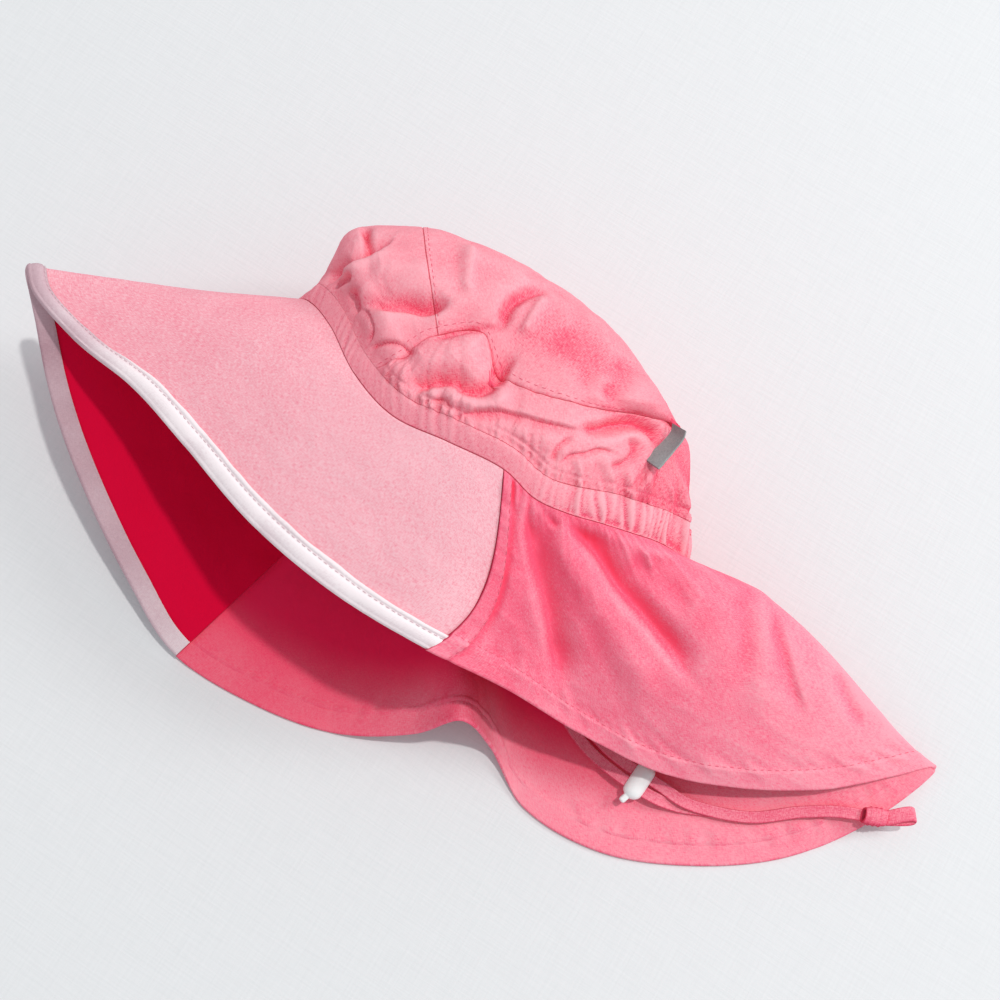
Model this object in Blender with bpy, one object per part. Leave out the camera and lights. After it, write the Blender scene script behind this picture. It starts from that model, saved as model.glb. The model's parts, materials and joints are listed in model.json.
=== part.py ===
"""Baby sun hat with a bound front brim, a neck flap and a soft gathered crown.

The hat lies on its right side. Lengths are in metres, +Z is up. +X runs from the brim's front
edge to the flap's back edge, and +Y runs from the mouth of the hat to the top of the crown.
The surface it lies on is Z = 0, and the origin is below the middle of the whole hat.

The head opening is a closed ring of stations. Brim and flap run outwards from it, the band and
the crown run the other way, and every cloth piece is a thin wall below its outer face.
"""

import math
from collections import namedtuple

import bmesh
import bpy
import numpy as np
from mathutils import Matrix, Vector

# Main sizes of the hat as it lies
OPENING_LENGTH = 0.176
LYING_HEIGHT = 0.088
CROWN_DEPTH = 0.072
BRIM_DEPTH = 0.100
FLAP_DEPTH = 0.125

# Cloth walls and trims
CLOTH = 0.0012
BRIM_PLY = 0.0011
BAND_WALL = 0.0020
BAND_FRONT = 0.008
BAND_BACK = 0.012
BAND_RIB = 0.0005
BAND_SWELL = 0.0006
BINDING_WIDTH = 0.0095
BINDING_INSIDE = 0.0060
BINDING_WALL = 0.0010
HEM_WIDTH = 0.010
HEM_STEP = 0.0005
SEAM_GAP = 0.0003

# Chin strap, its toggle and its knot
STRAP_WIDTH = 0.0045
STRAP_WALL = 0.0009
TOGGLE_LENGTH = 0.0155
TOGGLE_WIDTH = 0.0080
TOGGLE_HEIGHT = 0.0068
TOGGLE_TAIL = 0.0032
SLOT_LENGTH = 0.0104
SLOT_HEIGHT = 0.0020
KNOT_LENGTH = 0.0085
KNOT_WIDTH = 0.0082
KNOT_HEIGHT = 0.0052
END_LOOP = 0.0125

# Woven label in the crown's seam
LABEL_LENGTH = 0.025
LABEL_REACH = 0.008
LABEL_WALL = 0.0008

# Shares along the ring of the head opening, from the brim's front round the upper side
NEAR_FRONT_CORNER = 0.13
NEAR_BACK_CORNER = 0.36
BACK_MIDDLE = 0.44
FAR_BACK_CORNER = 0.63
FAR_FRONT_CORNER = 0.87
ELASTIC_START = 0.26
ELASTIC_END = 0.74

# How far the upper side seam curves towards the flap, and over what length the cloth takes it up
SIDE_SEAM_BOW = 0.010
SIDE_SEAM_EASE = 0.070

Station = namedtuple("Station", "place seam_x seam_y seam_z out_x out_y edge_z bow_y bow_z")

# A row for each spoke from the ring of the head opening to the outer edge of brim or flap.
# seam_x and seam_y are shares of OPENING_LENGTH from the opening's middle, seam_z and edge_z are
# shares of LYING_HEIGHT, and out_x, out_y and the bows are shares of the brim's or flap's depth.
BRIM_FRONT_HALF = [
    Station("brim front", -0.500, 0.071, 0.614, -0.940, -0.404, 0.602, 0.00, 0.00),
    Station("front fold", -0.480, 0.080, 0.682, -0.885, -0.490, 0.648, 0.00, 0.02),
    Station("upper front", -0.446, 0.077, 0.739, -0.700, -0.560, 0.705, 0.00, 0.03),
    Station("upper quarter", -0.372, 0.045, 0.830, -0.510, -0.550, 0.773, 0.00, 0.03),
    Station("upper third", -0.264, -0.023, 0.920, -0.380, -0.520, 0.824, 0.00, 0.02),
    Station("upper middle", -0.145, -0.062, 0.977, -0.230, -0.560, 0.852, 0.00, 0.01),
    Station("upper side", -0.020, -0.051, 1.000, -0.070, -0.630, 0.840, 0.00, 0.01),
    Station("upper side seam", 0.099, -0.040, 0.990, 0.090, -0.640, 0.795, 0.00, 0.01),
]
FLAP_ROUND = [
    Station("beside the seam", 0.179, -0.054, 0.955, 0.200, -0.452, 0.557, 0.00, 0.02),
    Station("upper hem", 0.247, -0.040, 0.903, 0.344, -0.456, 0.352, 0.00, 0.03),
    Station("upper fall", 0.310, -0.017, 0.852, 0.520, -0.456, 0.239, 0.00, 0.03),
    Station("upper quarter", 0.372, 0.006, 0.784, 0.672, -0.392, 0.193, 0.01, 0.03),
    Station("upper back", 0.429, 0.026, 0.716, 0.808, -0.284, 0.160, 0.03, 0.03),
    Station("beside the tip", 0.477, 0.034, 0.636, 0.892, -0.156, 0.125, 0.06, 0.02),
    Station("flap tip", 0.503, 0.028, 0.523, 0.952, -0.056, 0.090, 0.09, 0.00),
    Station("under the tip", 0.474, -0.017, 0.340, 0.904, -0.248, 0.030, 0.05, -0.02),
    Station("lower back", 0.429, -0.051, 0.227, 0.824, -0.400, 0.000, 0.02, -0.03),
    Station("lower quarter", 0.372, -0.091, 0.148, 0.688, -0.512, 0.000, 0.00, -0.03),
    Station("lower fall", 0.310, -0.136, 0.090, 0.496, -0.576, 0.000, 0.00, -0.02),
    Station("before the wave", 0.236, -0.187, 0.057, 0.320, -0.512, 0.000, 0.00, 0.00),
    Station("wave foot", 0.168, -0.222, 0.045, 0.248, -0.368, 0.090, 0.00, 0.03),
    Station("wave crest", 0.111, -0.244, 0.045, 0.224, -0.320, 0.307, 0.00, 0.06),
    Station("wave back", 0.037, -0.267, 0.045, 0.216, -0.392, 0.136, 0.00, 0.03),
    Station("lower hem", -0.048, -0.290, 0.045, 0.136, -0.480, 0.015, 0.00, 0.00),
    Station("lower side", -0.162, -0.307, 0.050, 0.016, -0.524, 0.000, 0.00, 0.00),
]
BRIM_BACK_HALF = [
    Station("lower side seam", -0.259, -0.307, 0.068, -0.170, -0.660, 0.018, 0.00, 0.00),
    Station("lower middle", -0.366, -0.261, 0.100, -0.280, -0.600, 0.136, 0.00, -0.01),
    Station("lower third", -0.463, -0.182, 0.180, -0.450, -0.520, 0.273, 0.00, -0.02),
    Station("lower quarter", -0.526, -0.057, 0.330, -0.610, -0.510, 0.410, 0.00, -0.02),
    Station("under the front", -0.523, 0.023, 0.477, -0.790, -0.450, 0.523, 0.00, -0.01),
]

CrownRow = namedtuple("CrownRow", "place along near_x near_y near_z top_x top_y top_z far_x far_y far_z")

# A row for each section over the crown, from the upper panel seam over the top to the lower one.
# x is a share of OPENING_LENGTH, y a share of CROWN_DEPTH and z a share of LYING_HEIGHT.
CROWN_ROWS = [
    CrownRow("over the front band", 0.10, -0.190, 0.11, 1.00, -0.474, 0.43, 0.636, -0.430, -0.17, 0.01),
    CrownRow("front shoulder", 0.24, -0.182, 0.19, 1.00, -0.463, 0.70, 0.557, -0.366, 0.11, 0.00),
    CrownRow("cross seam", 0.36, -0.156, 0.30, 1.00, -0.355, 0.87, 0.511, -0.253, 0.31, 0.00),
    CrownRow("front of the top", 0.46, -0.086, 0.43, 1.00, -0.207, 0.96, 0.511, -0.128, 0.39, 0.00),
    CrownRow("top", 0.56, -0.002, 0.29, 1.00, -0.031, 0.99, 0.511, 0.008, 0.39, 0.00),
    CrownRow("back of the top", 0.66, 0.096, 0.31, 1.01, 0.122, 0.92, 0.511, 0.145, 0.33, 0.00),
    CrownRow("back shoulder", 0.76, 0.200, 0.42, 0.95, 0.264, 0.75, 0.511, 0.259, 0.19, 0.00),
    CrownRow("label", 0.86, 0.335, 0.62, 0.69, 0.372, 0.60, 0.511, 0.325, -0.02, 0.015),
    CrownRow("over the back band", 0.94, 0.347, 0.36, 0.775, 0.436, 0.33, 0.523, 0.270, -0.20, 0.050),
]
CROSS_SEAM = 0.36
LABEL_ALONG = 0.895
CROWN_FULLNESS = 2.3
PANEL_PUFF = 0.03
LOWER_SAG = 0.045

Fold = namedtuple("Fold", "place from_x from_y to_x to_y half_width height")

# A row for each stretch of a fold, seen from above. x and y are shares of OPENING_LENGTH from the
# opening's middle, half_width and height are shares of LYING_HEIGHT, and a valley is negative.
CROWN_FOLDS = [
    Fold("front pleat, lower", -0.475, 0.13, -0.440, 0.24, 0.055, -0.055),
    Fold("front pleat, upper", -0.440, 0.24, -0.415, 0.33, 0.050, -0.055),
    Fold("front ridge", -0.415, 0.17, -0.385, 0.31, 0.045, 0.025),
    Fold("band puff valley, front", -0.190, -0.03, -0.100, 0.03, 0.050, -0.055),
    Fold("band puff valley, back", -0.100, 0.03, -0.030, 0.12, 0.050, -0.050),
    Fold("puff", -0.170, 0.07, -0.080, 0.13, 0.075, 0.030),
    Fold("casing valley", 0.010, 0.00, 0.210, 0.07, 0.045, -0.030),
    Fold("casing ridge", -0.030, 0.02, 0.250, 0.12, 0.045, 0.030),
    Fold("front valley, lower", -0.315, 0.09, -0.260, 0.15, 0.060, -0.040),
    Fold("front valley, upper", -0.260, 0.15, -0.195, 0.19, 0.060, -0.040),
    Fold("slanting valley", -0.110, 0.28, -0.050, 0.15, 0.065, -0.030),
    Fold("slanting ridge", -0.065, 0.33, 0.000, 0.14, 0.050, 0.028),
    Fold("hollow below the label", 0.190, 0.14, 0.320, 0.12, 0.070, -0.045),
]
FLAP_FOLDS = [
    Fold("short valley", 0.225, -0.135, 0.320, -0.230, 0.050, -0.035),
    Fold("long valley, start", 0.240, -0.055, 0.340, -0.082, 0.045, -0.045),
    Fold("long valley, middle", 0.340, -0.082, 0.470, -0.114, 0.065, -0.065),
    Fold("long valley, end", 0.470, -0.114, 0.590, -0.145, 0.060, -0.045),
    Fold("long ridge", 0.305, -0.165, 0.600, -0.265, 0.090, 0.028),
    Fold("back valley", 0.725, 0.060, 0.860, -0.115, 0.055, -0.025),
    Fold("tip valley", 0.815, 0.000, 0.915, -0.090, 0.045, -0.018),
]

# Routes of the strap's two strands, from their seams to the knot, and of the loop past the knot
NEAR_STRAND = [
    (0.0175, -0.0040, 0.0838), (0.0180, -0.0045, 0.0700), (0.0205, -0.0070, 0.0500),
    (0.0255, -0.0130, 0.0290), (0.0350, -0.0220, 0.0130), (0.0490, -0.0330, 0.0072),
    (0.0660, -0.0450, 0.0056), (0.0820, -0.0550, 0.0056), (0.0960, -0.0615, 0.0068),
    (0.1070, -0.0634, 0.0075), (0.1153, -0.0636, 0.0075), (0.1235, -0.0636, 0.0075),
    (0.1330, -0.0640, 0.0056), (0.1445, -0.0612, 0.0040), (0.1585, -0.0552, 0.0035),
    (0.1735, -0.0435, 0.0036), (0.1850, -0.0362, 0.0042), (0.1930, -0.0326, 0.0046),
]
FAR_STRAND = [
    (-0.0400, -0.0470, 0.0105), (-0.0300, -0.0480, 0.0095), (-0.0100, -0.0450, 0.0088),
    (0.0110, -0.0400, 0.0088), (0.0300, -0.0385, 0.0090), (0.0460, -0.0425, 0.0090),
    (0.0620, -0.0505, 0.0066), (0.0780, -0.0600, 0.0050), (0.0920, -0.0660, 0.0050),
    (0.1070, -0.0686, 0.0074), (0.1153, -0.0689, 0.0075), (0.1235, -0.0686, 0.0072),
    (0.1330, -0.0664, 0.0035), (0.1440, -0.0615, 0.0024), (0.1585, -0.0552, 0.0023),
    (0.1735, -0.0435, 0.0024), (0.1850, -0.0362, 0.0030), (0.1930, -0.0326, 0.0034),
]
TOGGLE_PLACE = (0.1153, -0.0662, 0.0075)
TOGGLE_TURN = math.radians(-3)
KNOT_CLEARANCE = 0.0003
STRAP_ROOM = 0.0004

# How finely the walls are divided
BRIM_SPOKES = 40
BRIM_RINGS = 6
FLAP_SPOKES = 60
FLAP_RINGS = 10
BAND_RIBS = 24
STEPS_A_RIB = 4
CROWN_SECTIONS = 24
PANEL_STEPS = 4
STRIP_STEPS = 18
FAR_STEPS = 3
STRAND_STEPS = 34


def material(name, colour, roughness, metallic=0.0):
    """A plain finish of one colour."""
    made = bpy.data.materials.new(name)
    made.use_nodes = True
    shader = made.node_tree.nodes["Principled BSDF"]
    shader.inputs["Base Color"].default_value = (*colour, 1.0)
    shader.inputs["Roughness"].default_value = roughness
    shader.inputs["Metallic"].default_value = metallic
    made.diffuse_color = (*colour, 1.0)
    return made


def smooth_step(value):
    """0 below 0, 1 above 1, and an even S between."""
    held = np.clip(value, 0.0, 1.0)
    return held * held * (3.0 - 2.0 * held)


def spline(knots, rows, at, period=None):
    """Smooth curve through rows at rising knots, closed after a period if one is given."""
    knots = np.asarray(knots, float)
    rows = np.asarray(rows, float)
    at = np.asarray(at, float)
    if period:
        knots = np.concatenate([knots[-2:] - period, knots, knots[:3] + period])
        rows = np.concatenate([rows[-2:], rows, rows[:3]])
        at = np.mod(at - knots[2], period) + knots[2]
    steps = np.diff(knots)
    slopes = np.diff(rows, axis=0) / steps[:, None]
    weight = (steps[:-1] / (steps[:-1] + steps[1:]))[:, None]
    inner = slopes[:-1] * (1.0 - weight) + slopes[1:] * weight
    tangents = np.concatenate([slopes[:1], inner, slopes[-1:]])
    index = np.clip(np.searchsorted(knots, at, side="right") - 1, 0, len(steps) - 1)
    step = steps[index][:, None]
    t = ((at - knots[index]) / steps[index])[:, None]
    start, end = rows[index], rows[index + 1]
    leave, arrive = tangents[index] * step, tangents[index + 1] * step
    return (
        start * (1 + 2 * t) * (1 - t) ** 2
        + leave * t * (1 - t) ** 2
        + end * t * t * (3 - 2 * t)
        + arrive * t * t * (t - 1)
    )


def unit(vectors):
    """Each row at length 1."""
    return vectors / np.maximum(np.linalg.norm(vectors, axis=-1, keepdims=True), 1e-12)


class Ring:
    """The closed ring of the head opening, with the brim's and flap's spokes on it."""

    def __init__(self):
        rows = BRIM_FRONT_HALF + FLAP_ROUND + BRIM_BACK_HALF
        depths = [BRIM_DEPTH] * len(BRIM_FRONT_HALF) + [FLAP_DEPTH] * len(FLAP_ROUND)
        depths += [BRIM_DEPTH] * len(BRIM_BACK_HALF)
        seam = [
            (row.seam_x * OPENING_LENGTH, row.seam_y * OPENING_LENGTH, row.seam_z * LYING_HEIGHT)
            for row in rows
        ]
        edge = [
            (point[0] + row.out_x * depth, point[1] + row.out_y * depth, row.edge_z * LYING_HEIGHT)
            for row, depth, point in zip(rows, depths, seam)
        ]
        bow = [(0.0, row.bow_y * depth, row.bow_z * depth) for row, depth in zip(rows, depths)]
        self.rows = np.hstack([seam, edge, bow])
        closed = np.vstack([self.rows, self.rows[:1]])
        steps = np.linalg.norm(np.diff(closed[:, :3], axis=0), axis=1)
        steps += 0.5 * np.linalg.norm(np.diff(closed[:, 3:6], axis=0), axis=1)
        along = np.concatenate([[0.0], np.cumsum(steps)])
        self.knots = along[:-1]
        self.period = along[-1]
        self.near_seam = self.knots[len(BRIM_FRONT_HALF) - 1]
        self.far_seam = self.knots[len(BRIM_FRONT_HALF) + len(FLAP_ROUND)]
        fine = np.linspace(0.0, self.period, 721)
        line = self.at(fine)[:, :3]
        lengths = np.concatenate([[0.0], np.cumsum(np.linalg.norm(np.diff(line, axis=0), axis=1))])
        self.length = lengths[-1]
        self._fine = fine
        self._shares = lengths / lengths[-1]
        self.middle = line.mean(axis=0)
        beside = np.array([self.near_seam - CLOTH, self.near_seam + CLOTH])
        self.near_rate = 2 * CLOTH / np.linalg.norm(np.diff(self.spoke(beside, 0.5), axis=0))

    def at(self, places):
        """Seam point, edge point and bow at places along the ring's knots."""
        return spline(self.knots, self.rows, places, self.period)

    def place(self, shares):
        """Knot places of shares of the ring's length from the brim's front."""
        turns = np.floor(shares)
        return np.interp(shares - turns, self._shares, self._fine) + turns * self.period

    def share(self, place):
        """Share of the ring's length at a knot place."""
        return np.interp(place, self._fine, self._shares)

    def seam(self, places):
        return self.at(places)[:, :3]

    def outward(self, places):
        """Directions away from the opening's middle, square to the ring."""
        here = self.seam(places)
        ahead = self.seam(np.asarray(places) + 0.001)
        tangent = unit(ahead - here)
        away = here - self.middle
        away[:, 1] = 0.0
        away -= tangent * (away * tangent).sum(axis=1, keepdims=True)
        return unit(away)

    def band_top(self, places):
        """The line where the band meets the crown."""
        places = np.asarray(places, float)
        share = self.share(np.mod(places, self.period))
        back = smooth_step((share - ELASTIC_START) / 0.08) * smooth_step((ELASTIC_END - share) / 0.08)
        tall = BAND_FRONT + (BAND_BACK - BAND_FRONT) * back
        away = self.outward(places)
        lean = 0.3 * np.clip(away[:, 2], 0, 1) - 0.5 * np.abs(away[:, 0])
        way = unit(np.array([[0.0, 0.9, 0.0]]) + lean[:, None] * away)
        return self.seam(places) + way * tall[:, None]

    def bowed(self, places, share):
        """Places moved round so that the upper side seam curves towards the flap."""
        places = np.asarray(places, float)
        fade = 1.0 - smooth_step(np.abs(places - self.near_seam) / SIDE_SEAM_EASE)
        return places + SIDE_SEAM_BOW * self.near_rate * 4.0 * share * (1.0 - share) * fade

    def spoke(self, places, share):
        """Points a share of the way from the seam to the outer edge."""
        rows = self.at(places)
        share = np.broadcast_to(share, np.shape(places))[:, None]
        lift = 6.75 * share * (1.0 - share) ** 2
        return rows[:, :3] + (rows[:, 3:6] - rows[:, :3]) * share + rows[:, 6:9] * lift

    def normal(self, places, share):
        """Directions out of the outer face of brim or flap."""
        places = np.asarray(places, float)
        share = np.broadcast_to(share, places.shape)
        along = self.spoke(places + 0.0005, share) - self.spoke(places - 0.0005, share)
        out = self.spoke(places, share + 0.01) - self.spoke(places, share - 0.01)
        return unit(np.cross(out, along))

    def wall_way(self, places, share):
        """Outer face directions that meet the band's at the seam."""
        blend = smooth_step(np.broadcast_to(share, np.shape(places)) / 0.18)[:, None]
        return unit(self.outward(places) * (1 - blend) + self.normal(places, share) * blend)


def fold_height(points, folds, upward):
    """How far the folds push each point of the upper side out along its normal."""
    total = np.zeros(points.shape[:-1])
    plan = points[..., :2]
    for fold in folds:
        start = np.array([fold.from_x, fold.from_y]) * OPENING_LENGTH
        end = np.array([fold.to_x, fold.to_y]) * OPENING_LENGTH
        line = end - start
        share = np.clip(((plan - start) @ line) / (line @ line), 0.0, 1.0)
        away = np.linalg.norm(plan - start - share[..., None] * line, axis=-1)
        width = fold.half_width * LYING_HEIGHT
        total += fold.height * LYING_HEIGHT * np.exp(-((away / width) ** 2))
    return total * upward


def grid_normals(grid, outward):
    """Normals of a grid of points, on the side that outward points to."""
    across = np.gradient(grid, axis=0)
    along = np.gradient(grid, axis=1)
    normals = unit(np.cross(across, along))
    if (normals * outward).sum() < 0:
        normals = -normals
    return normals


def trimmed(grid, start_row=0.0, end_row=0.0, start_column=0.0, end_column=0.0):
    """The grid with its border lines drawn in by the given distances."""
    grid = grid.copy()
    if start_row:
        grid[0] += unit(grid[1] - grid[0]) * start_row
    if end_row:
        grid[-1] += unit(grid[-2] - grid[-1]) * end_row
    if start_column:
        grid[:, 0] += unit(grid[:, 1] - grid[:, 0]) * start_column
    if end_column:
        grid[:, -1] += unit(grid[:, -2] - grid[:, -1]) * end_column
    return grid


def wall_mesh(name, outer, inner, finish, closed=False):
    """One closed wall between two grids of points, closed round the columns if asked."""
    rows, columns = outer.shape[:2]
    mesh = bmesh.new()
    skins = []
    for grid in (outer, inner):
        skins.append([[mesh.verts.new(Vector(point)) for point in line] for line in grid])
    last = columns if closed else columns - 1
    for i in range(rows - 1):
        for j in range(last):
            k = (j + 1) % columns
            top, under = skins
            mesh.faces.new((top[i][j], top[i][k], top[i + 1][k], top[i + 1][j]))
            mesh.faces.new((under[i][j], under[i + 1][j], under[i + 1][k], under[i][k]))
    for j in range(last):
        k = (j + 1) % columns
        for i in (0, rows - 1):
            mesh.faces.new((skins[0][i][j], skins[0][i][k], skins[1][i][k], skins[1][i][j]))
    if not closed:
        for i in range(rows - 1):
            for j in (0, columns - 1):
                mesh.faces.new((skins[0][i][j], skins[0][i + 1][j], skins[1][i + 1][j], skins[1][i][j]))
    return finished(name, mesh, finish)


def finished(name, mesh, finish):
    """The mesh as a named object, triangulated, with its faces pointing out."""
    bmesh.ops.triangulate(mesh, faces=mesh.faces[:])
    bmesh.ops.recalc_face_normals(mesh, faces=mesh.faces[:])
    if mesh.calc_volume(signed=True) < 0:
        bmesh.ops.reverse_faces(mesh, faces=mesh.faces[:])
    data = bpy.data.meshes.new(name)
    mesh.to_mesh(data)
    mesh.free()
    data.shade_smooth()
    data.set_sharp_from_angle(angle=math.radians(50))
    data.materials.append(finish)
    made = bpy.data.objects.new(name, data)
    bpy.context.scene.collection.objects.link(made)
    return made


def above_floor(grid, height=0.0):
    """The grid with nothing lower than the height."""
    grid = grid.copy()
    grid[..., 2] = np.maximum(grid[..., 2], height)
    return grid


def eased(ways, passes=6):
    """Wall directions evened out along the ring, so that walls don't cross inside a tight bend."""
    ways = ways.copy()
    for _ in range(passes):
        ways[:, 1:-1] = unit(ways[:, 1:-1] * 2 + ways[:, :-2] + ways[:, 2:])
    return ways


def spoke_places(ring, first, last, spokes):
    """Places along the ring that are evenly spaced half way out to the edge."""
    fine = np.linspace(first, last, 601)
    middle = ring.spoke(fine, 0.5)
    lengths = np.concatenate([[0.0], np.cumsum(np.linalg.norm(np.diff(middle, axis=0), axis=1))])
    return np.interp(np.linspace(0, lengths[-1], spokes + 1), lengths, fine)


def build_brim(ring, places, finishes):
    """Outer ply, the lining below it, and the binding that wraps both along the edge."""
    shares = np.linspace(0.0, 1.0, BRIM_RINGS + 1)
    grid = np.array([ring.spoke(ring.bowed(places, share), share) for share in shares])
    ways = eased(np.array([ring.wall_way(ring.bowed(places, share), share) for share in shares]))
    grid = above_floor(grid, BINDING_WALL + SEAM_GAP)
    half = SEAM_GAP / 2
    cover = trimmed(grid, half, BINDING_WALL + SEAM_GAP, half, half)
    wall_mesh("brim_cover", cover, cover - ways * BRIM_PLY, finishes["brim"])
    lining = trimmed(grid, BRIM_PLY, BINDING_WALL + SEAM_GAP, 2 * half, 2 * half)
    lining = lining - ways * (BRIM_PLY + SEAM_GAP)
    wall_mesh("brim_lining", lining, lining - ways * BRIM_PLY, finishes["lining"])
    build_binding(grid, ways, finishes)


def build_binding(grid, ways, finishes):
    """A folded tape round the brim's edge, open towards the brim."""
    rim = trimmed(grid[-2:], 0.0, 0.0, BINDING_WALL, BINDING_WALL)[1]
    inside = trimmed(grid[-2:], 0.0, 0.0, BINDING_WALL, BINDING_WALL)[0]
    share = BINDING_WIDTH / np.linalg.norm(inside - rim, axis=1)[:, None]
    foot = rim + (inside - rim) * share
    inwards = unit(inside - rim)
    normal = ways[-1]
    foot_normal = unit(ways[-1] * (1 - share) + ways[-2] * share)
    share = share * BINDING_INSIDE / BINDING_WIDTH
    low_foot = rim + (inside - rim) * share
    low_normal = unit(ways[-1] * (1 - share) + ways[-2] * share)
    core = 2 * BRIM_PLY + SEAM_GAP
    skin = SEAM_GAP
    wall = BINDING_WALL
    shoulder = rim + inwards * 2 * wall
    nose = rim + inwards * wall
    section = [
        foot + foot_normal * skin,
        foot + foot_normal * (skin + wall),
        shoulder + normal * (skin + wall),
        rim - normal * 0.1 * core,
        rim - normal * 0.9 * core,
        shoulder - normal * (core + skin + wall),
        low_foot - low_normal * (core + skin + wall),
        low_foot - low_normal * (core + skin),
        nose - normal * (core + skin),
        nose + normal * skin,
    ]
    points = above_floor(np.array(section))
    mesh = bmesh.new()
    lines = [[mesh.verts.new(Vector(point)) for point in column] for column in points.transpose(1, 0, 2)]
    count = len(section)
    for one, two in zip(lines, lines[1:]):
        for i in range(count):
            k = (i + 1) % count
            mesh.faces.new((one[i], one[k], two[k], two[i]))
    for cap in (lines[0], lines[-1]):
        for corners in ((0, 1, 2, 9), (9, 2, 3), (9, 3, 4, 8), (8, 4, 5), (8, 5, 6, 7)):
            mesh.faces.new([cap[i] for i in corners])
    finished("brim_binding", mesh, finishes["binding"])


def build_flap(ring, finishes):
    """The neck flap with its folds and its turned hem, and its inner face."""
    places = spoke_places(ring, ring.near_seam, ring.far_seam, FLAP_SPOKES)
    depth = np.linalg.norm(ring.spoke(places, 1.0) - ring.spoke(places, 0.0), axis=1)
    hem = 1.0 - HEM_WIDTH / depth
    shares = [hem * 0.985 * step / (FLAP_RINGS - 2) for step in range(FLAP_RINGS - 1)]
    shares += [hem, np.ones_like(hem)]
    grid = np.array([ring.spoke(ring.bowed(places, share), share) for share in shares])
    ways = np.array([ring.wall_way(ring.bowed(places, share), share) for share in shares])
    seam_fade = smooth_step(np.array(shares) / 0.12)
    side_fade = smooth_step((places - places[0]) / 0.02) * smooth_step((places[-1] - places) / 0.02)
    upward = smooth_step((ways[..., 2] - 0.05) / 0.4) * seam_fade * side_fade
    grid = grid + ways * fold_height(grid, FLAP_FOLDS, upward)[..., None]
    grid = above_floor(grid)
    normals = grid_normals(grid, ways)
    normals[:, 0], normals[:, -1] = ways[:, 0], ways[:, -1]
    blend = seam_fade[..., None]
    ways = unit(ways * (1 - blend) + normals * blend)
    half = SEAM_GAP / 2
    outer = trimmed(grid, half, 0.0, half, half)
    thick = np.full((len(shares), 1, 1), CLOTH)
    thick[-2:] += HEM_STEP
    inner = outer - ways * thick
    wall_mesh("neck_flap", outer, inner, finishes["cloth"])
    return inner[:, int(np.argmax(ways[-3, :, 2] < 0)) - 1:]


def build_band(ring, brim_places, finishes):
    """The casing round the head opening, ribbed where the elastic gathers it."""
    steps = BAND_RIBS * STEPS_A_RIB
    first = ring.share(ring.near_seam)
    last = ring.share(ring.far_seam)
    ribs = ring.place(first + (last - first) * np.arange(1, steps) / steps)
    places = np.concatenate([brim_places, ribs])
    phase = np.arange(1, steps) / steps * BAND_RIBS * 2 * math.pi
    ribbed = np.concatenate([np.zeros(len(brim_places)), (1 - np.cos(phase)) * 0.5 * BAND_RIB])
    low = ring.seam(places)
    high = ring.band_top(places)
    away = ring.outward(places)
    tall = unit(high - low)
    low = low + tall * SEAM_GAP / 2
    high = high - tall * SEAM_GAP / 2
    middle = (low + high) / 2 + away * (BAND_SWELL + ribbed[:, None])
    outer = np.array([low, middle, high])
    inner = outer - away * BAND_WALL
    inner[1] = (inner[0] + inner[2]) / 2
    wall_mesh("band", above_floor(outer), above_floor(inner), finishes["band"], closed=True)


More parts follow.
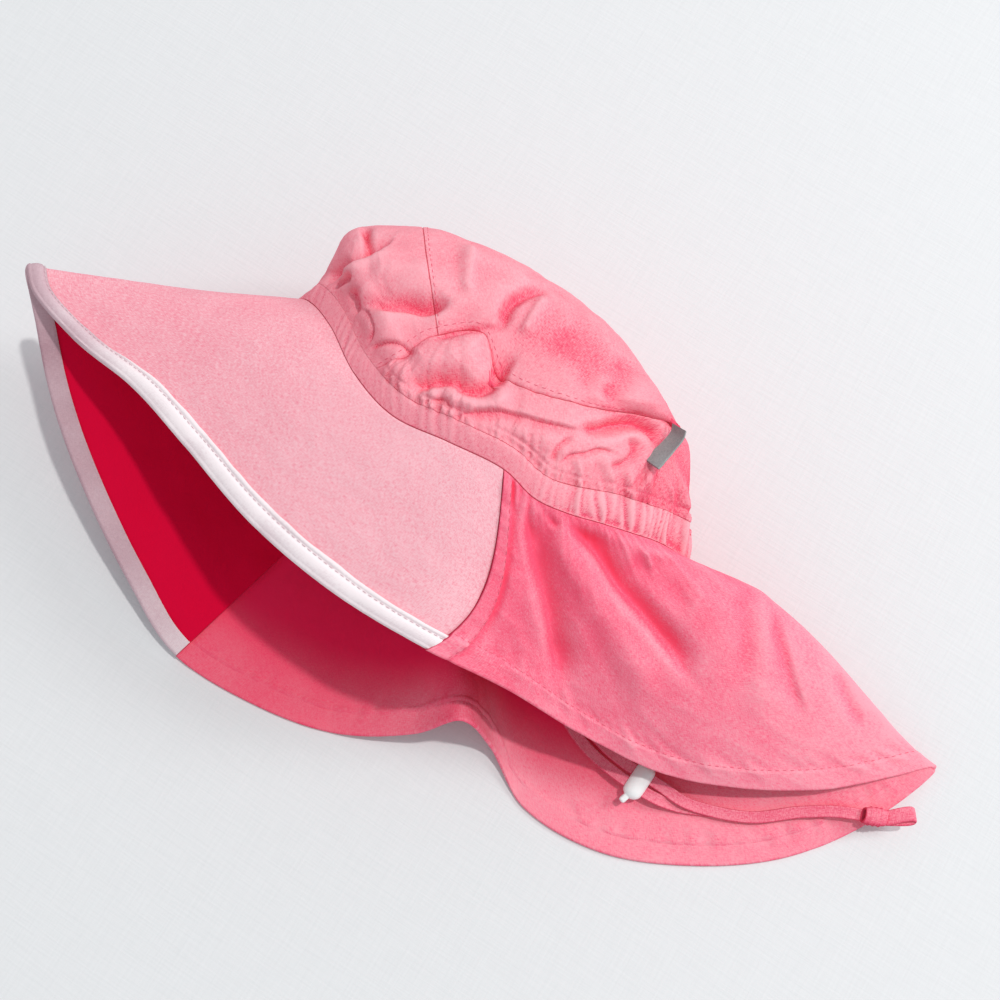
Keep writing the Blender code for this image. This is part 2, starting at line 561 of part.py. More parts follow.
class Crown:
    """Grid of the whole crown: sections across it, hoops from the upper band to the lower."""

    def __init__(self, ring, sections, panel, strip, far):
        self.ring = ring
        even = np.linspace(0.0, 1.0, sections + 1)
        self.along = 0.55 * even + 0.45 * (1.0 - np.cos(math.pi * even)) / 2.0
        self.snap(CROSS_SEAM)
        self.near = ring.place(NEAR_FRONT_CORNER + (NEAR_BACK_CORNER - NEAR_FRONT_CORNER) * self.along)
        self.far = ring.place(FAR_FRONT_CORNER + (FAR_BACK_CORNER - FAR_FRONT_CORNER) * self.along)
        self.panel, self.strip, self.far_steps = panel, strip, far
        self.points = self.base()

    def snap(self, value):
        """Moves the nearest section to a seam's place."""
        self.cross = int(np.abs(self.along - value).argmin())
        self.along[self.cross] = value

    def guides(self):
        """The upper panel seam, the outermost line and the lower panel seam."""
        ring = self.ring
        ends = []
        for near, top, far in (
            (NEAR_FRONT_CORNER, 0.0, FAR_FRONT_CORNER - 1.0),
            (NEAR_BACK_CORNER, BACK_MIDDLE, FAR_BACK_CORNER),
        ):
            ends.append(ring.band_top(ring.place(np.array([near, top, far]))).ravel())
        sizes = np.array([OPENING_LENGTH, CROWN_DEPTH, LYING_HEIGHT] * 3)
        rows = [np.array(row[2:]) * sizes for row in CROWN_ROWS]
        knots = [0.0] + [row.along for row in CROWN_ROWS] + [1.0]
        values = spline(knots, [ends[0]] + rows + [ends[1]], self.along)
        return values[:, :3], values[:, 3:6], values[:, 6:9]

    def base(self):
        near, top, far = self.guides()
        ring = self.ring
        power = 2.0 / CROWN_FULLNESS
        half = self.strip // 2
        hoops = []
        for step in range(self.strip + 1):
            upper = step <= half
            turn = (step / half if upper else (self.strip - step) / (self.strip - half)) * math.pi / 2
            from_line = near if upper else far
            corner = from_line.copy()
            corner[:, 2] = top[:, 2]
            rise = np.cos(turn) ** power if turn < math.pi / 2 - 1e-9 else 0.0
            reach = np.sin(turn) ** power if turn > 1e-9 else 0.0
            hoops.append(corner + (from_line - corner) * rise + (top - corner) * reach)
        strip = np.array(hoops).transpose(1, 0, 2)
        for index, near_share, top_share, far_share in (
            (0, NEAR_FRONT_CORNER, 0.0, FAR_FRONT_CORNER - 1.0),
            (-1, NEAR_BACK_CORNER, BACK_MIDDLE, FAR_BACK_CORNER),
        ):
            shares = np.concatenate([
                np.linspace(near_share, top_share, half + 1),
                np.linspace(top_share, far_share, self.strip - half + 1)[1:],
            ])
            arc = ring.band_top(ring.place(shares))
            shift = arc - strip[index]
            distance = self.along if index == 0 else 1.0 - self.along
            fade = (1.0 - smooth_step(distance / 0.16))[:, None, None]
            strip = strip + shift[None] * fade
        low = ring.band_top(self.near)
        high = strip[:, 0]
        c = np.linspace(0, 1, self.panel + 1)[None, :, None]
        near_panel = low[:, None] * (1 - c) + high[:, None] * c
        size = np.linalg.norm(high - low, axis=1)[:, None]
        near_panel[..., 2] += PANEL_PUFF * LYING_HEIGHT * 4 * (c * (1 - c))[..., 0] * np.minimum(
            size / (0.2 * CROWN_DEPTH), 1.0)
        start = strip[:, -1]
        last = ring.band_top(self.far)
        f = np.linspace(0, 1, self.far_steps + 1)[None, :, None]
        far_panel = start[:, None] * (1 - f) + last[:, None] * f
        wide = np.linalg.norm(last - start, axis=1)[:, None]
        far_panel[..., 2] -= LOWER_SAG * LYING_HEIGHT * 4 * (f * (1 - f))[..., 0] * np.minimum(
            wide / (0.5 * CROWN_DEPTH), 1.0)
        return np.concatenate([near_panel[:, :-1], strip, far_panel[:, 1:]], axis=1)

    def shaped(self):
        """The crown's outer face with its folds, and its wall directions."""
        away = self.points - self.points.mean(axis=(0, 1))
        normals = self.safe_normals(self.points, away)
        upward = smooth_step((normals[..., 2] - 0.05) / 0.35) * self.border_fade()
        points = self.points + normals * fold_height(self.points, CROWN_FOLDS, upward)[..., None]
        points = above_floor(points)
        return points, self.safe_normals(points, away)

    def border_fade(self):
        """0 at the band and 1 a little way off it, so that folds start at the band's line."""
        columns = self.points.shape[1]
        low = self.points[:, :1]
        high = self.points[:, -1:]
        near = np.linalg.norm(self.points - low, axis=-1)
        far = np.linalg.norm(self.points - high, axis=-1)
        fade = smooth_step(near / 0.008) * smooth_step(far / 0.008)
        distance = np.minimum(self.along, 1.0 - self.along)[:, None] * np.ones((1, columns))
        return fade * smooth_step(distance / 0.05)

    def safe_normals(self, points, away):
        """Normals of the grid, with the ring's own directions along the band."""
        across = np.gradient(points, axis=0)
        along = np.gradient(points, axis=1)
        normals = unit(np.cross(across, along))
        facing = np.sign((normals * away).sum(axis=-1, keepdims=True))
        facing[facing == 0] = 1.0
        normals = normals * np.sign(facing.sum())
        low = self.ring.outward(self.near)
        high = self.ring.outward(self.far)
        normals[:, 0] = low
        normals[:, -1] = high
        for index, near_share, top_share, far_share in (
            (0, NEAR_FRONT_CORNER, 0.0, FAR_FRONT_CORNER - 1.0),
            (-1, NEAR_BACK_CORNER, BACK_MIDDLE, FAR_BACK_CORNER),
        ):
            half = self.strip // 2
            shares = np.concatenate([
                np.full(self.panel, near_share),
                np.linspace(near_share, top_share, half + 1),
                np.linspace(top_share, far_share, self.strip - half + 1)[1:],
                np.full(self.far_steps, far_share),
            ])
            normals[index] = self.ring.outward(self.ring.place(shares))
        blended = normals.copy()
        blended[1:-1] = unit(normals[1:-1] * 2 + normals[:-2] + normals[2:])
        blended[:, 1:-1] = unit(blended[:, 1:-1] * 2 + blended[:, :-2] + blended[:, 2:])
        blended[:, 0], blended[:, -1] = normals[:, 0], normals[:, -1]
        blended[0], blended[-1] = normals[0], normals[-1]
        return blended


def build_crown(ring, finishes):
    """Two side panels and a top strip in two pieces, with a small gap at every seam."""
    crown = Crown(ring, CROWN_SECTIONS, PANEL_STEPS, STRIP_STEPS, FAR_STEPS)
    points, ways = crown.shaped()
    first = crown.panel
    last = crown.panel + crown.strip
    half = SEAM_GAP / 2
    band = 1.4 * SEAM_GAP

    def piece(name, rows, columns, room):
        outer = trimmed(points[rows, columns], *room)
        inner = outer - ways[rows, columns] * CLOTH
        wall_mesh(name, outer, above_floor(inner, 0.0), finishes["cloth"])

    inside = slice(1, -1)
    piece("crown_near_side", inside, slice(0, first + 1), (0, 0, band, half))
    piece("crown_far_side", inside, slice(last, None), (0, 0, half, band))
    strip = slice(first, last + 1)
    piece("crown_top_front", slice(0, crown.cross + 1), strip, (band, half, half, half))
    piece("crown_top_back", slice(crown.cross, None), strip, (half, band, half, half))
    return crown, points, ways


def height_over(plan, grids):
    """The highest point of the given faces below each point seen from above."""
    heights = np.zeros(len(plan))
    for grid in grids:
        a, b = grid[:-1, :-1].reshape(-1, 3), grid[:-1, 1:].reshape(-1, 3)
        c, d = grid[1:, 1:].reshape(-1, 3), grid[1:, :-1].reshape(-1, 3)
        for one, two, three in ((a, b, c), (a, c, d)):
            u, v = two[:, :2] - one[:, :2], three[:, :2] - one[:, :2]
            area = u[:, 0] * v[:, 1] - u[:, 1] * v[:, 0]
            area = np.where(np.abs(area) < 1e-12, 1e-12, area)
            for index, point in enumerate(plan):
                away = point - one[:, :2]
                s = (away[:, 0] * v[:, 1] - away[:, 1] * v[:, 0]) / area
                t = (u[:, 0] * away[:, 1] - u[:, 1] * away[:, 0]) / area
                hit = (s >= -0.02) & (t >= -0.02) & (s + t <= 1.02)
                if hit.any():
                    z = one[hit, 2] + s[hit] * (two[hit, 2] - one[hit, 2]) + t[hit] * (three[hit, 2] - one[hit, 2])
                    heights[index] = max(heights[index], z.max())
    return heights


def build_strand(name, route, supports, finish):
    """A flat strap along a smooth route, lifted clear of the faces that it lies on."""
    route = np.array(route)
    knots = np.concatenate([[0.0], np.cumsum(np.linalg.norm(np.diff(route, axis=0), axis=1))])
    line = spline(knots, route, np.linspace(0, knots[-1], STRAND_STEPS + 1))
    tangent = unit(np.gradient(line, axis=0))
    sideways = unit(np.cross(np.array([[0.0, 0.0, 1.0]]), tangent))
    rest = np.zeros(len(line))
    for share in (-0.5, 0.0, 0.5):
        rest = np.maximum(rest, height_over((line + sideways * share * STRAP_WIDTH)[:, :2], supports))
    rest = np.maximum(rest, np.maximum(np.roll(rest, 1), np.roll(rest, -1)) - 0.0004)
    line[:, 2] = np.maximum(line[:, 2], rest + STRAP_WALL / 2 + STRAP_ROOM)
    tangent = unit(np.gradient(line, axis=0))
    up = unit(np.cross(tangent, sideways))
    top = line + up * STRAP_WALL / 2
    outer = np.array([top - sideways * STRAP_WIDTH / 2, top + sideways * STRAP_WIDTH / 2])
    wall_mesh(name, outer, outer - up[None] * STRAP_WALL, finish)
    return line, tangent, sideways, outer


def build_strap(lower, finishes):
    """Two strands, the toggle they pass through, the knot that ends them and the loop past it."""
    _, _, _, far_top = build_strand("chin_strap_far", FAR_STRAND, [lower], finishes["strap"])
    line, tangent, sideways, _ = build_strand(
        "chin_strap_near", NEAR_STRAND, [lower, far_top], finishes["strap"]
    )
    end, side = line[-1], sideways[-1]
    way = unit(tangent[-1] * np.array([1.0, 1.0, 0.0]))
    middle = end + way * (KNOT_CLEARANCE + KNOT_LENGTH / 2)
    corners = np.array([
        middle + way * a * KNOT_LENGTH / 2 + side * b * KNOT_WIDTH / 2
        for a in (-1, -0.5, 0, 0.5, 1) for b in (-1, -0.5, 0, 0.5, 1)
    ])
    middle[2] = height_over(corners[:, :2], [lower]).max() + KNOT_HEIGHT / 2 + SEAM_GAP
    build_knot(middle, way, side, finishes)
    build_end_loop(middle + way * (KNOT_LENGTH / 2 + KNOT_CLEARANCE), way, side, finishes)
    build_toggle(finishes)


def turned_block(mesh, middle, along, side, sizes, rounding, segments=2):
    """A rounded block with its length along one direction."""
    up = np.cross(along, side)
    turn = Matrix((along, side, up)).transposed().to_4x4()
    place = Matrix.Translation(Vector(middle)) @ turn @ Matrix.Diagonal((*sizes, 1.0))
    made = bmesh.ops.create_cube(mesh, size=1.0, matrix=place)
    edges = list({edge for vert in made["verts"] for edge in vert.link_edges})
    bmesh.ops.bevel(mesh, geom=edges, offset=rounding, segments=segments, profile=0.5, affect="EDGES")


def build_knot(middle, way, side, finishes):
    """The strap wrapped once round itself."""
    mesh = bmesh.new()
    turned_block(mesh, middle, way, side, (KNOT_LENGTH, KNOT_WIDTH, KNOT_HEIGHT), 0.0014)
    finished("strap_knot", mesh, finishes["strap"])


def build_end_loop(start, way, side, finishes):
    """The strap's folded end past the knot, an open flat loop."""
    turned = unit(way + 0.35 * side)
    across = unit(side - 0.35 * way)
    shape = []
    for share, reach in ((0.06, 0.30), (0.35, 0.5), (0.7, 0.58), (0.92, 0.52), (1.0, 0.38)):
        shape.append((share * END_LOOP, reach * KNOT_WIDTH))
    columns = []
    for along, half in shape:
        centre = start + turned * along
        columns.append((centre - across * half, centre + across * half))
    outer = np.array(columns).transpose(1, 0, 2)
    rise = STRAP_WALL + 0.0008
    outer[..., 2] = start[2] + rise - 0.0010
    inner = outer.copy()
    inner[..., 2] -= 2 * rise
    wall_mesh("strap_end_loop", outer, inner, finishes["strap"])


def build_toggle(finishes):
    """A capsule with a slot for both strands and a small moulded tail."""
    mesh = bmesh.new()
    rings = 10
    around = 14
    half = TOGGLE_LENGTH / 2
    cap = TOGGLE_WIDTH / 2
    profile = []
    for i in range(rings // 2 + 1):
        turn = math.pi / 2 * i / (rings // 2)
        profile.append((-half + cap * (1 - math.cos(turn)), math.sin(turn)))
    profile += [(-place, size) for place, size in reversed(profile)]
    lines = []
    for place, size in profile:
        if size < 1e-6:
            lines.append([mesh.verts.new((0.0, place, 0.0))])
            continue
        line = []
        for i in range(around):
            turn = 2 * math.pi * i / around
            x = 0.5 * TOGGLE_WIDTH * size * math.cos(turn)
            z = 0.5 * TOGGLE_HEIGHT * size * math.sin(turn)
            line.append(mesh.verts.new((x, place, z)))
        lines.append(line)
    for one, two in zip(lines, lines[1:]):
        for i in range(around):
            k = (i + 1) % around
            if len(one) == 1:
                mesh.faces.new((one[0], two[i], two[k]))
            elif len(two) == 1:
                mesh.faces.new((one[i], one[k], two[0]))
            else:
                mesh.faces.new((one[i], one[k], two[k], two[i]))
    body = finished("strap_toggle", mesh, finishes["toggle"])

    tail = bmesh.new()
    turned_block(
        tail, (-0.12 * TOGGLE_WIDTH, -half - 0.15 * TOGGLE_TAIL, 0.0), (0.0, 1.0, 0.0), (-1.0, 0.0, 0.0),
        (1.6 * TOGGLE_TAIL, 0.32 * TOGGLE_WIDTH, 0.42 * TOGGLE_HEIGHT), 0.0006, 1,
    )
    tail_guide = finished("toggle_tail_guide", tail, finishes["toggle"])
    slot = bmesh.new()
    bmesh.ops.create_cube(
        slot, size=1.0,
        matrix=Matrix.Diagonal((2 * TOGGLE_WIDTH, SLOT_LENGTH, SLOT_HEIGHT, 1.0)),
    )
    slot_guide = finished("toggle_slot_guide", slot, finishes["toggle"])
    for guide in (tail_guide, slot_guide):
        guide.hide_render = True
        guide.display_type = "WIRE"
        guide.parent = body
    for operation, guide in (("UNION", tail_guide), ("DIFFERENCE", slot_guide)):
        cut = body.modifiers.new(operation.lower(), "BOOLEAN")
        cut.operation = operation
        cut.object = guide
    body.location = TOGGLE_PLACE
    body.rotation_euler = (0.0, 0.0, TOGGLE_TURN)


def build_label(crown, points, ways, finishes):
    """The folded label that stands out of the upper panel seam at the back."""
    seam = points[:, crown.panel]
    lengths = np.concatenate([[0.0], np.cumsum(np.linalg.norm(np.diff(seam, axis=0), axis=1))])
    centre = np.interp(LABEL_ALONG, crown.along, lengths)
    at = np.linspace(centre - LABEL_LENGTH / 2, centre + LABEL_LENGTH / 2, 7)
    base = np.array([[np.interp(at, lengths, seam[:, axis])] for axis in range(3)])[:, 0].T
    away = np.array([[np.interp(at, lengths, ways[:, crown.panel, axis])] for axis in range(3)])[:, 0].T
    out = unit(unit(away) + np.array([[0.45, -0.15, 0.0]]))
    along = unit(np.gradient(base, axis=0))
    thick = unit(np.cross(along, out))
    foot = base + away * 4 * SEAM_GAP
    outer = np.array([foot, foot + out * LABEL_REACH]) + thick[None] * LABEL_WALL / 2
    wall_mesh("label_tab", outer, outer - thick[None] * LABEL_WALL, finishes["label"])


def set_origin():
    """Moves the whole hat so that the origin is below its middle, on the surface."""
    solids = [item for item in bpy.context.scene.objects if item.type == "MESH" and not item.hide_render]
    cloth = [item for item in solids if "strap" not in item.name]
    corners = np.array([tuple(item.matrix_world @ v.co) for item in cloth for v in item.data.vertices])
    low, high = corners.min(axis=0), corners.max(axis=0)
    shift = Vector((-(low[0] + high[0]) / 2, -(low[1] + high[1]) / 2, -low[2]))
    for item in solids:
        item.location += shift


def main():
    for item in list(bpy.data.objects):
        bpy.data.objects.remove(item, do_unlink=True)
    finishes = {
        "cloth": material("coral_pink_cloth", (0.91, 0.17, 0.26), 0.85),
        "band": material("band_pink_cloth", (0.88, 0.22, 0.32), 0.85),
        "brim": material("brim_pale_pink_cloth", (0.96, 0.34, 0.42), 0.85),
        "lining": material("raspberry_lining", (0.62, 0.03, 0.12), 0.8),
        "binding": material("blush_binding", (0.88, 0.74, 0.78), 0.8),
        "strap": material("strap_pink_cloth", (0.86, 0.18, 0.29), 0.85),
        "toggle": material("white_plastic", (0.93, 0.93, 0.92), 0.35),
        "label": material("grey_label_weave", (0.30, 0.32, 0.31), 0.8),
    }
    ring = Ring()
    brim_places = spoke_places(ring, ring.far_seam - ring.period, ring.near_seam, BRIM_SPOKES)
    build_brim(ring, brim_places, finishes)
    flap_inner = build_flap(ring, finishes)
    build_band(ring, brim_places, finishes)
    crown, points, ways = build_crown(ring, finishes)
    build_label(crown, points, ways, finishes)
    build_strap(flap_inner, finishes)
    bpy.context.view_layer.update()
    set_origin()


main()
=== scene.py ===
"""Looks of a baby's sun hat: a bound front brim, a neck flap and a soft gathered crown.

Lengths are in metres. +X runs from the brim's front to the flap's back, +Y from the mouth to the
top of the crown and +Z up. The hat lies on its right side on Z = 0.
"""

import itertools
import json
import math
from collections import namedtuple

import bmesh
import bpy
import numpy as np
from bpy.props import FloatProperty, FloatVectorProperty, PointerProperty
from mathutils import Matrix, Vector
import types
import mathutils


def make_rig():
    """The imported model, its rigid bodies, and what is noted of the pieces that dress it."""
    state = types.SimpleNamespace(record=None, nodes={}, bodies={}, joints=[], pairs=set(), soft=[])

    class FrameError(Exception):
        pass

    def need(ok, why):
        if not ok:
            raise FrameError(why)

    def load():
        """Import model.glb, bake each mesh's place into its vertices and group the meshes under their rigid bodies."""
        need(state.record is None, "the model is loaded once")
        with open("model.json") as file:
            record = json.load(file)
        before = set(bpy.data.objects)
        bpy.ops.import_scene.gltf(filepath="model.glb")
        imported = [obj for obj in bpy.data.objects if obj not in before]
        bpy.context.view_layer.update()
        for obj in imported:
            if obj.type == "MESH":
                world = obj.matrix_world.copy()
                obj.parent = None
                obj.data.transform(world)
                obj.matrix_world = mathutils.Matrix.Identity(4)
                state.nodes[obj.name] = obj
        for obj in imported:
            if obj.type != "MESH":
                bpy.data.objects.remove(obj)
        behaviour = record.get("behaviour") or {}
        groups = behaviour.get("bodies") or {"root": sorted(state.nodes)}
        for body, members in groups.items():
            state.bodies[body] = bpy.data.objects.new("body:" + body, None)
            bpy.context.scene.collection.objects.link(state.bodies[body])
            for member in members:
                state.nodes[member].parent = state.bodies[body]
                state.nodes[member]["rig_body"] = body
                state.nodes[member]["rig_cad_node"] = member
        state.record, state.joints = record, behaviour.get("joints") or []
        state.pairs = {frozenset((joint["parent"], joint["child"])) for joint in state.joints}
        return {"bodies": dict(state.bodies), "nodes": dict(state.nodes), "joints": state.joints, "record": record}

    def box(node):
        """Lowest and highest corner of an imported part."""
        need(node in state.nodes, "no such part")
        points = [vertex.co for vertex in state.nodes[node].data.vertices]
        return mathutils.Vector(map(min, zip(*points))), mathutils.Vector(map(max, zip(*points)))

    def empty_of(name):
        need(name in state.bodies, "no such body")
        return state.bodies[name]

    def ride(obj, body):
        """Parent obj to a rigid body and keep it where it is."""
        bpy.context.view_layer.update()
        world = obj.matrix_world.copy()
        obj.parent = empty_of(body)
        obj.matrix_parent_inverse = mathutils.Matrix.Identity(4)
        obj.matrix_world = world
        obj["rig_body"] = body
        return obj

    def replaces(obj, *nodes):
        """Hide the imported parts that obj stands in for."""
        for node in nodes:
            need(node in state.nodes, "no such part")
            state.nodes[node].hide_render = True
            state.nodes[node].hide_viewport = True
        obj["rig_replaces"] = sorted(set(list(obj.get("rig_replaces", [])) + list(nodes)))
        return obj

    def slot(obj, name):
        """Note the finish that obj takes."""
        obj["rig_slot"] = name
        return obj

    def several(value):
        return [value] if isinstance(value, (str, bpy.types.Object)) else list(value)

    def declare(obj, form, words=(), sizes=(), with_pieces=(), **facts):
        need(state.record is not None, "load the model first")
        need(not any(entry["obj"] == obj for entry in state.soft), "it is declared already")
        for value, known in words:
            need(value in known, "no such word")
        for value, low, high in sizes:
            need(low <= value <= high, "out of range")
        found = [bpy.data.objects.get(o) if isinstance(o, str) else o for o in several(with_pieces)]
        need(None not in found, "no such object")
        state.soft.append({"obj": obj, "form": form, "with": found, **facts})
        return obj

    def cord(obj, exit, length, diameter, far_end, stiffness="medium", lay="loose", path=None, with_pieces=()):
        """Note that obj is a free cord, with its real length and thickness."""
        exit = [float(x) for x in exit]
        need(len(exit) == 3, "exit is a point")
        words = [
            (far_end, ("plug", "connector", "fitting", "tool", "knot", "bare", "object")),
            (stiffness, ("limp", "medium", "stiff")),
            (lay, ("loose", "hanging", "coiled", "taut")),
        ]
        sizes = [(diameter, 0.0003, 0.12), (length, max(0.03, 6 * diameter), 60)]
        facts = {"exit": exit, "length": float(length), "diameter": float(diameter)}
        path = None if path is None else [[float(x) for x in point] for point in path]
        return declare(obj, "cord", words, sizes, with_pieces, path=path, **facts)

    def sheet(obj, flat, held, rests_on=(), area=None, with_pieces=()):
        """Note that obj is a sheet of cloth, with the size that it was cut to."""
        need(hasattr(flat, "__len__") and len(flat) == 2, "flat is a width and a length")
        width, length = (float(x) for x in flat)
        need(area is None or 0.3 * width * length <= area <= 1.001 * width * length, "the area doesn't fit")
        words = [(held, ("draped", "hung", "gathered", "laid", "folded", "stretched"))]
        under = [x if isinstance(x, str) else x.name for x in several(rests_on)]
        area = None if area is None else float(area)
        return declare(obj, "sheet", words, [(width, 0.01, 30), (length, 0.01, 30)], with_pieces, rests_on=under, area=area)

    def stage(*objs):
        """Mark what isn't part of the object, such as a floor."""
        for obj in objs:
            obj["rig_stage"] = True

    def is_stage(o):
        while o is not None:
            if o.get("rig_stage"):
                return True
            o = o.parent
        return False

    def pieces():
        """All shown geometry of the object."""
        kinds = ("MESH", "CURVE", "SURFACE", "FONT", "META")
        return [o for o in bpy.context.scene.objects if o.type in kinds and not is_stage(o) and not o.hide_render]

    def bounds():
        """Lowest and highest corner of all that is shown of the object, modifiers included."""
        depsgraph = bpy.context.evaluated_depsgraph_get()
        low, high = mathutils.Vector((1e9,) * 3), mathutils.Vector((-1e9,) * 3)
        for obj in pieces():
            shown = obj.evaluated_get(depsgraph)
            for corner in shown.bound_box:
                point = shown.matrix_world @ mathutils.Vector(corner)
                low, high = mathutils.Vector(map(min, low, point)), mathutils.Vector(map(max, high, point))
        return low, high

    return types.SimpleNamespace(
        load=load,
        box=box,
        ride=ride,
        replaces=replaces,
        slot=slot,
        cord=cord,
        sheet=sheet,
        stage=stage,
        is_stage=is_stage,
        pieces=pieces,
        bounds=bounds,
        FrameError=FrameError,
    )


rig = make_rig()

bl_info = {
    "name": "Baby Sun Hat",
    "version": (1, 0, 0),
    "blender": (4, 5, 0),
    "location": "3D View > Sidebar > Sun Hat",
    "description": "Builds a baby's sun hat with a bound brim, a gathered crown and a neck flap",
    "category": "Add Mesh",
}

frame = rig.load()
CAD_BOX = [list(corner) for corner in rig.bounds()]

# Main sizes, which the solids share
OPENING_LENGTH = 0.176
LYING_HEIGHT = 0.088
CROWN_DEPTH = 0.072
BRIM_DEPTH = 0.100
FLAP_DEPTH = 0.125
ORIGIN_SHIFT = np.array([-0.013299, 0.024902, 0.0])
PICTURE_MIDDLE = np.array([0.0115, 0.0, 0.0]) + ORIGIN_SHIFT

# Shares of the ring's length from the brim's front round the upper side
NEAR_FRONT_CORNER = 0.13
NEAR_BACK_CORNER = 0.36
BACK_MIDDLE = 0.44
FAR_BACK_CORNER = 0.63
FAR_FRONT_CORNER = 0.87
ELASTIC_START = 0.26
ELASTIC_END = 0.74
ELASTIC_EASE = 0.08
GATHERS_START = 0.125
GATHERS_EASE = 0.03
SIDE_SEAM_BOW = 0.010
SIDE_SEAM_EASE = 0.070
MM = 0.001
RING_STEPS = 720

# Shares of the way over the crown from front to back, and how full the crown is
CROSS_SEAM = 0.36
LABEL_ALONG = 0.895
CROWN_FULLNESS = 2.3
PANEL_PUFF = 0.03
LOWER_SAG = 0.045

# Row or column of the crown's grid, and shares of the ring at its upper corner, the outermost
# line and its lower corner there
CROWN_ENDS = (
    (0, NEAR_FRONT_CORNER, 0.0, FAR_FRONT_CORNER - 1.0),
    (-1, NEAR_BACK_CORNER, BACK_MIDDLE, FAR_BACK_CORNER),
)

# Walls, hems and seams of the cloth
BRIM_PLY = 0.0011
SOFT_PLY = 0.0012
BAND_WALL = 0.0020
HEM_WALL = 0.0017
HEM_DEPTH = 0.0095
HEM_EDGE = 0.0097
HEM_STITCHES = 0.0088
SIDE_STRIP = 0.0062
SIDE_STITCHES = 0.0050
BAND_HEIGHT = 0.008
ELASTIC_HEIGHT = 0.004
CASING_SEAM = 0.0034
SEAM_DIP = 0.00040
SEAM_LINE = 0.00028
CROWN_DIP = 0.0005
STITCH_PITCH = 0.0029
TAPE_PITCH = 0.0024
THREAD_SIZE = np.array([0.0017, 0.00034, 0.00030])
TAPE_CORE = 0.0025
TAPE_WIDTH = 0.0060
TAPE_INSET = 0.0012
TAPE_LIFT = 0.0009
TAPE_STITCHES = 0.0054
LABEL_WIDTH = 0.025
LABEL_REACH = 0.0078
LABEL_WALL = 0.00040
LABEL_TURN = math.radians(-24)
LABEL_SHIFT = np.array([-0.0018, -0.0026, 0.0028])

Station = namedtuple("Station", "place seam_x seam_y seam_z out_x out_y edge_z bow_y bow_z")

# A row for each spoke from the ring of the head opening to the outer edge of brim or flap.
# seam_x and seam_y are shares of OPENING_LENGTH from the opening's middle, seam_z and edge_z are
# shares of LYING_HEIGHT, and out_x, out_y and the bows are shares of the brim's or flap's depth.
BRIM_FRONT_HALF = [Station(*row) for row in (
    ("brim front", -0.500, 0.071, 0.614, -0.940, -0.404, 0.602, 0.00, 0.00),
    ("front fold", -0.480, 0.080, 0.682, -0.885, -0.490, 0.648, 0.00, 0.02),
    ("upper front", -0.446, 0.077, 0.739, -0.700, -0.560, 0.705, 0.00, 0.03),
    ("upper quarter", -0.372, 0.045, 0.830, -0.510, -0.550, 0.773, 0.00, 0.03),
    ("upper third", -0.264, -0.023, 0.920, -0.380, -0.520, 0.824, 0.00, 0.02),
    ("upper middle", -0.145, -0.062, 0.977, -0.230, -0.560, 0.852, 0.00, 0.01),
    ("upper side", -0.020, -0.051, 1.000, -0.070, -0.630, 0.840, 0.00, 0.01),
    ("upper side seam", 0.099, -0.040, 0.990, 0.090, -0.640, 0.795, 0.00, 0.01),
)]
FLAP_ROUND = [Station(*row) for row in (
    ("beside the seam", 0.179, -0.054, 0.955, 0.200, -0.452, 0.557, 0.00, 0.02),
    ("upper hem", 0.247, -0.040, 0.903, 0.344, -0.456, 0.352, 0.00, 0.03),
    ("upper fall", 0.310, -0.017, 0.852, 0.520, -0.456, 0.239, 0.00, 0.03),
    ("upper quarter", 0.372, 0.006, 0.784, 0.672, -0.392, 0.193, 0.01, 0.03),
    ("upper back", 0.429, 0.026, 0.716, 0.808, -0.284, 0.160, 0.03, 0.03),
    ("beside the tip", 0.477, 0.034, 0.636, 0.892, -0.156, 0.125, 0.06, 0.02),
    ("flap tip", 0.503, 0.028, 0.523, 0.952, -0.056, 0.090, 0.09, 0.00),
    ("under the tip", 0.474, -0.017, 0.340, 0.904, -0.248, 0.030, 0.05, -0.02),
    ("lower back", 0.429, -0.051, 0.227, 0.824, -0.400, 0.000, 0.02, -0.03),
    ("lower quarter", 0.372, -0.091, 0.148, 0.688, -0.512, 0.000, 0.00, -0.03),
    ("lower fall", 0.310, -0.136, 0.090, 0.496, -0.576, 0.000, 0.00, -0.02),
    ("before the wave", 0.236, -0.187, 0.057, 0.320, -0.512, 0.000, 0.00, 0.00),
    ("wave foot", 0.168, -0.222, 0.045, 0.248, -0.368, 0.090, 0.00, 0.03),
    ("wave crest", 0.111, -0.244, 0.045, 0.224, -0.320, 0.307, 0.00, 0.06),
    ("wave back", 0.037, -0.267, 0.045, 0.216, -0.392, 0.136, 0.00, 0.03),
    ("lower hem", -0.048, -0.290, 0.045, 0.136, -0.480, 0.015, 0.00, 0.00),
    ("lower side", -0.162, -0.307, 0.050, 0.016, -0.524, 0.000, 0.00, 0.00),
)]
BRIM_BACK_HALF = [Station(*row) for row in (
    ("lower side seam", -0.259, -0.307, 0.068, -0.170, -0.660, 0.018, 0.00, 0.00),
    ("lower middle", -0.366, -0.261, 0.100, -0.280, -0.600, 0.136, 0.00, -0.01),
    ("lower third", -0.463, -0.182, 0.180, -0.450, -0.520, 0.273, 0.00, -0.02),
    ("lower quarter", -0.526, -0.057, 0.330, -0.610, -0.510, 0.410, 0.00, -0.02),
    ("under the front", -0.523, 0.023, 0.477, -0.790, -0.450, 0.523, 0.00, -0.01),
)]

CrownRow = namedtuple("CrownRow", "place along near_x near_y near_z top_x top_y top_z far_x far_y far_z")

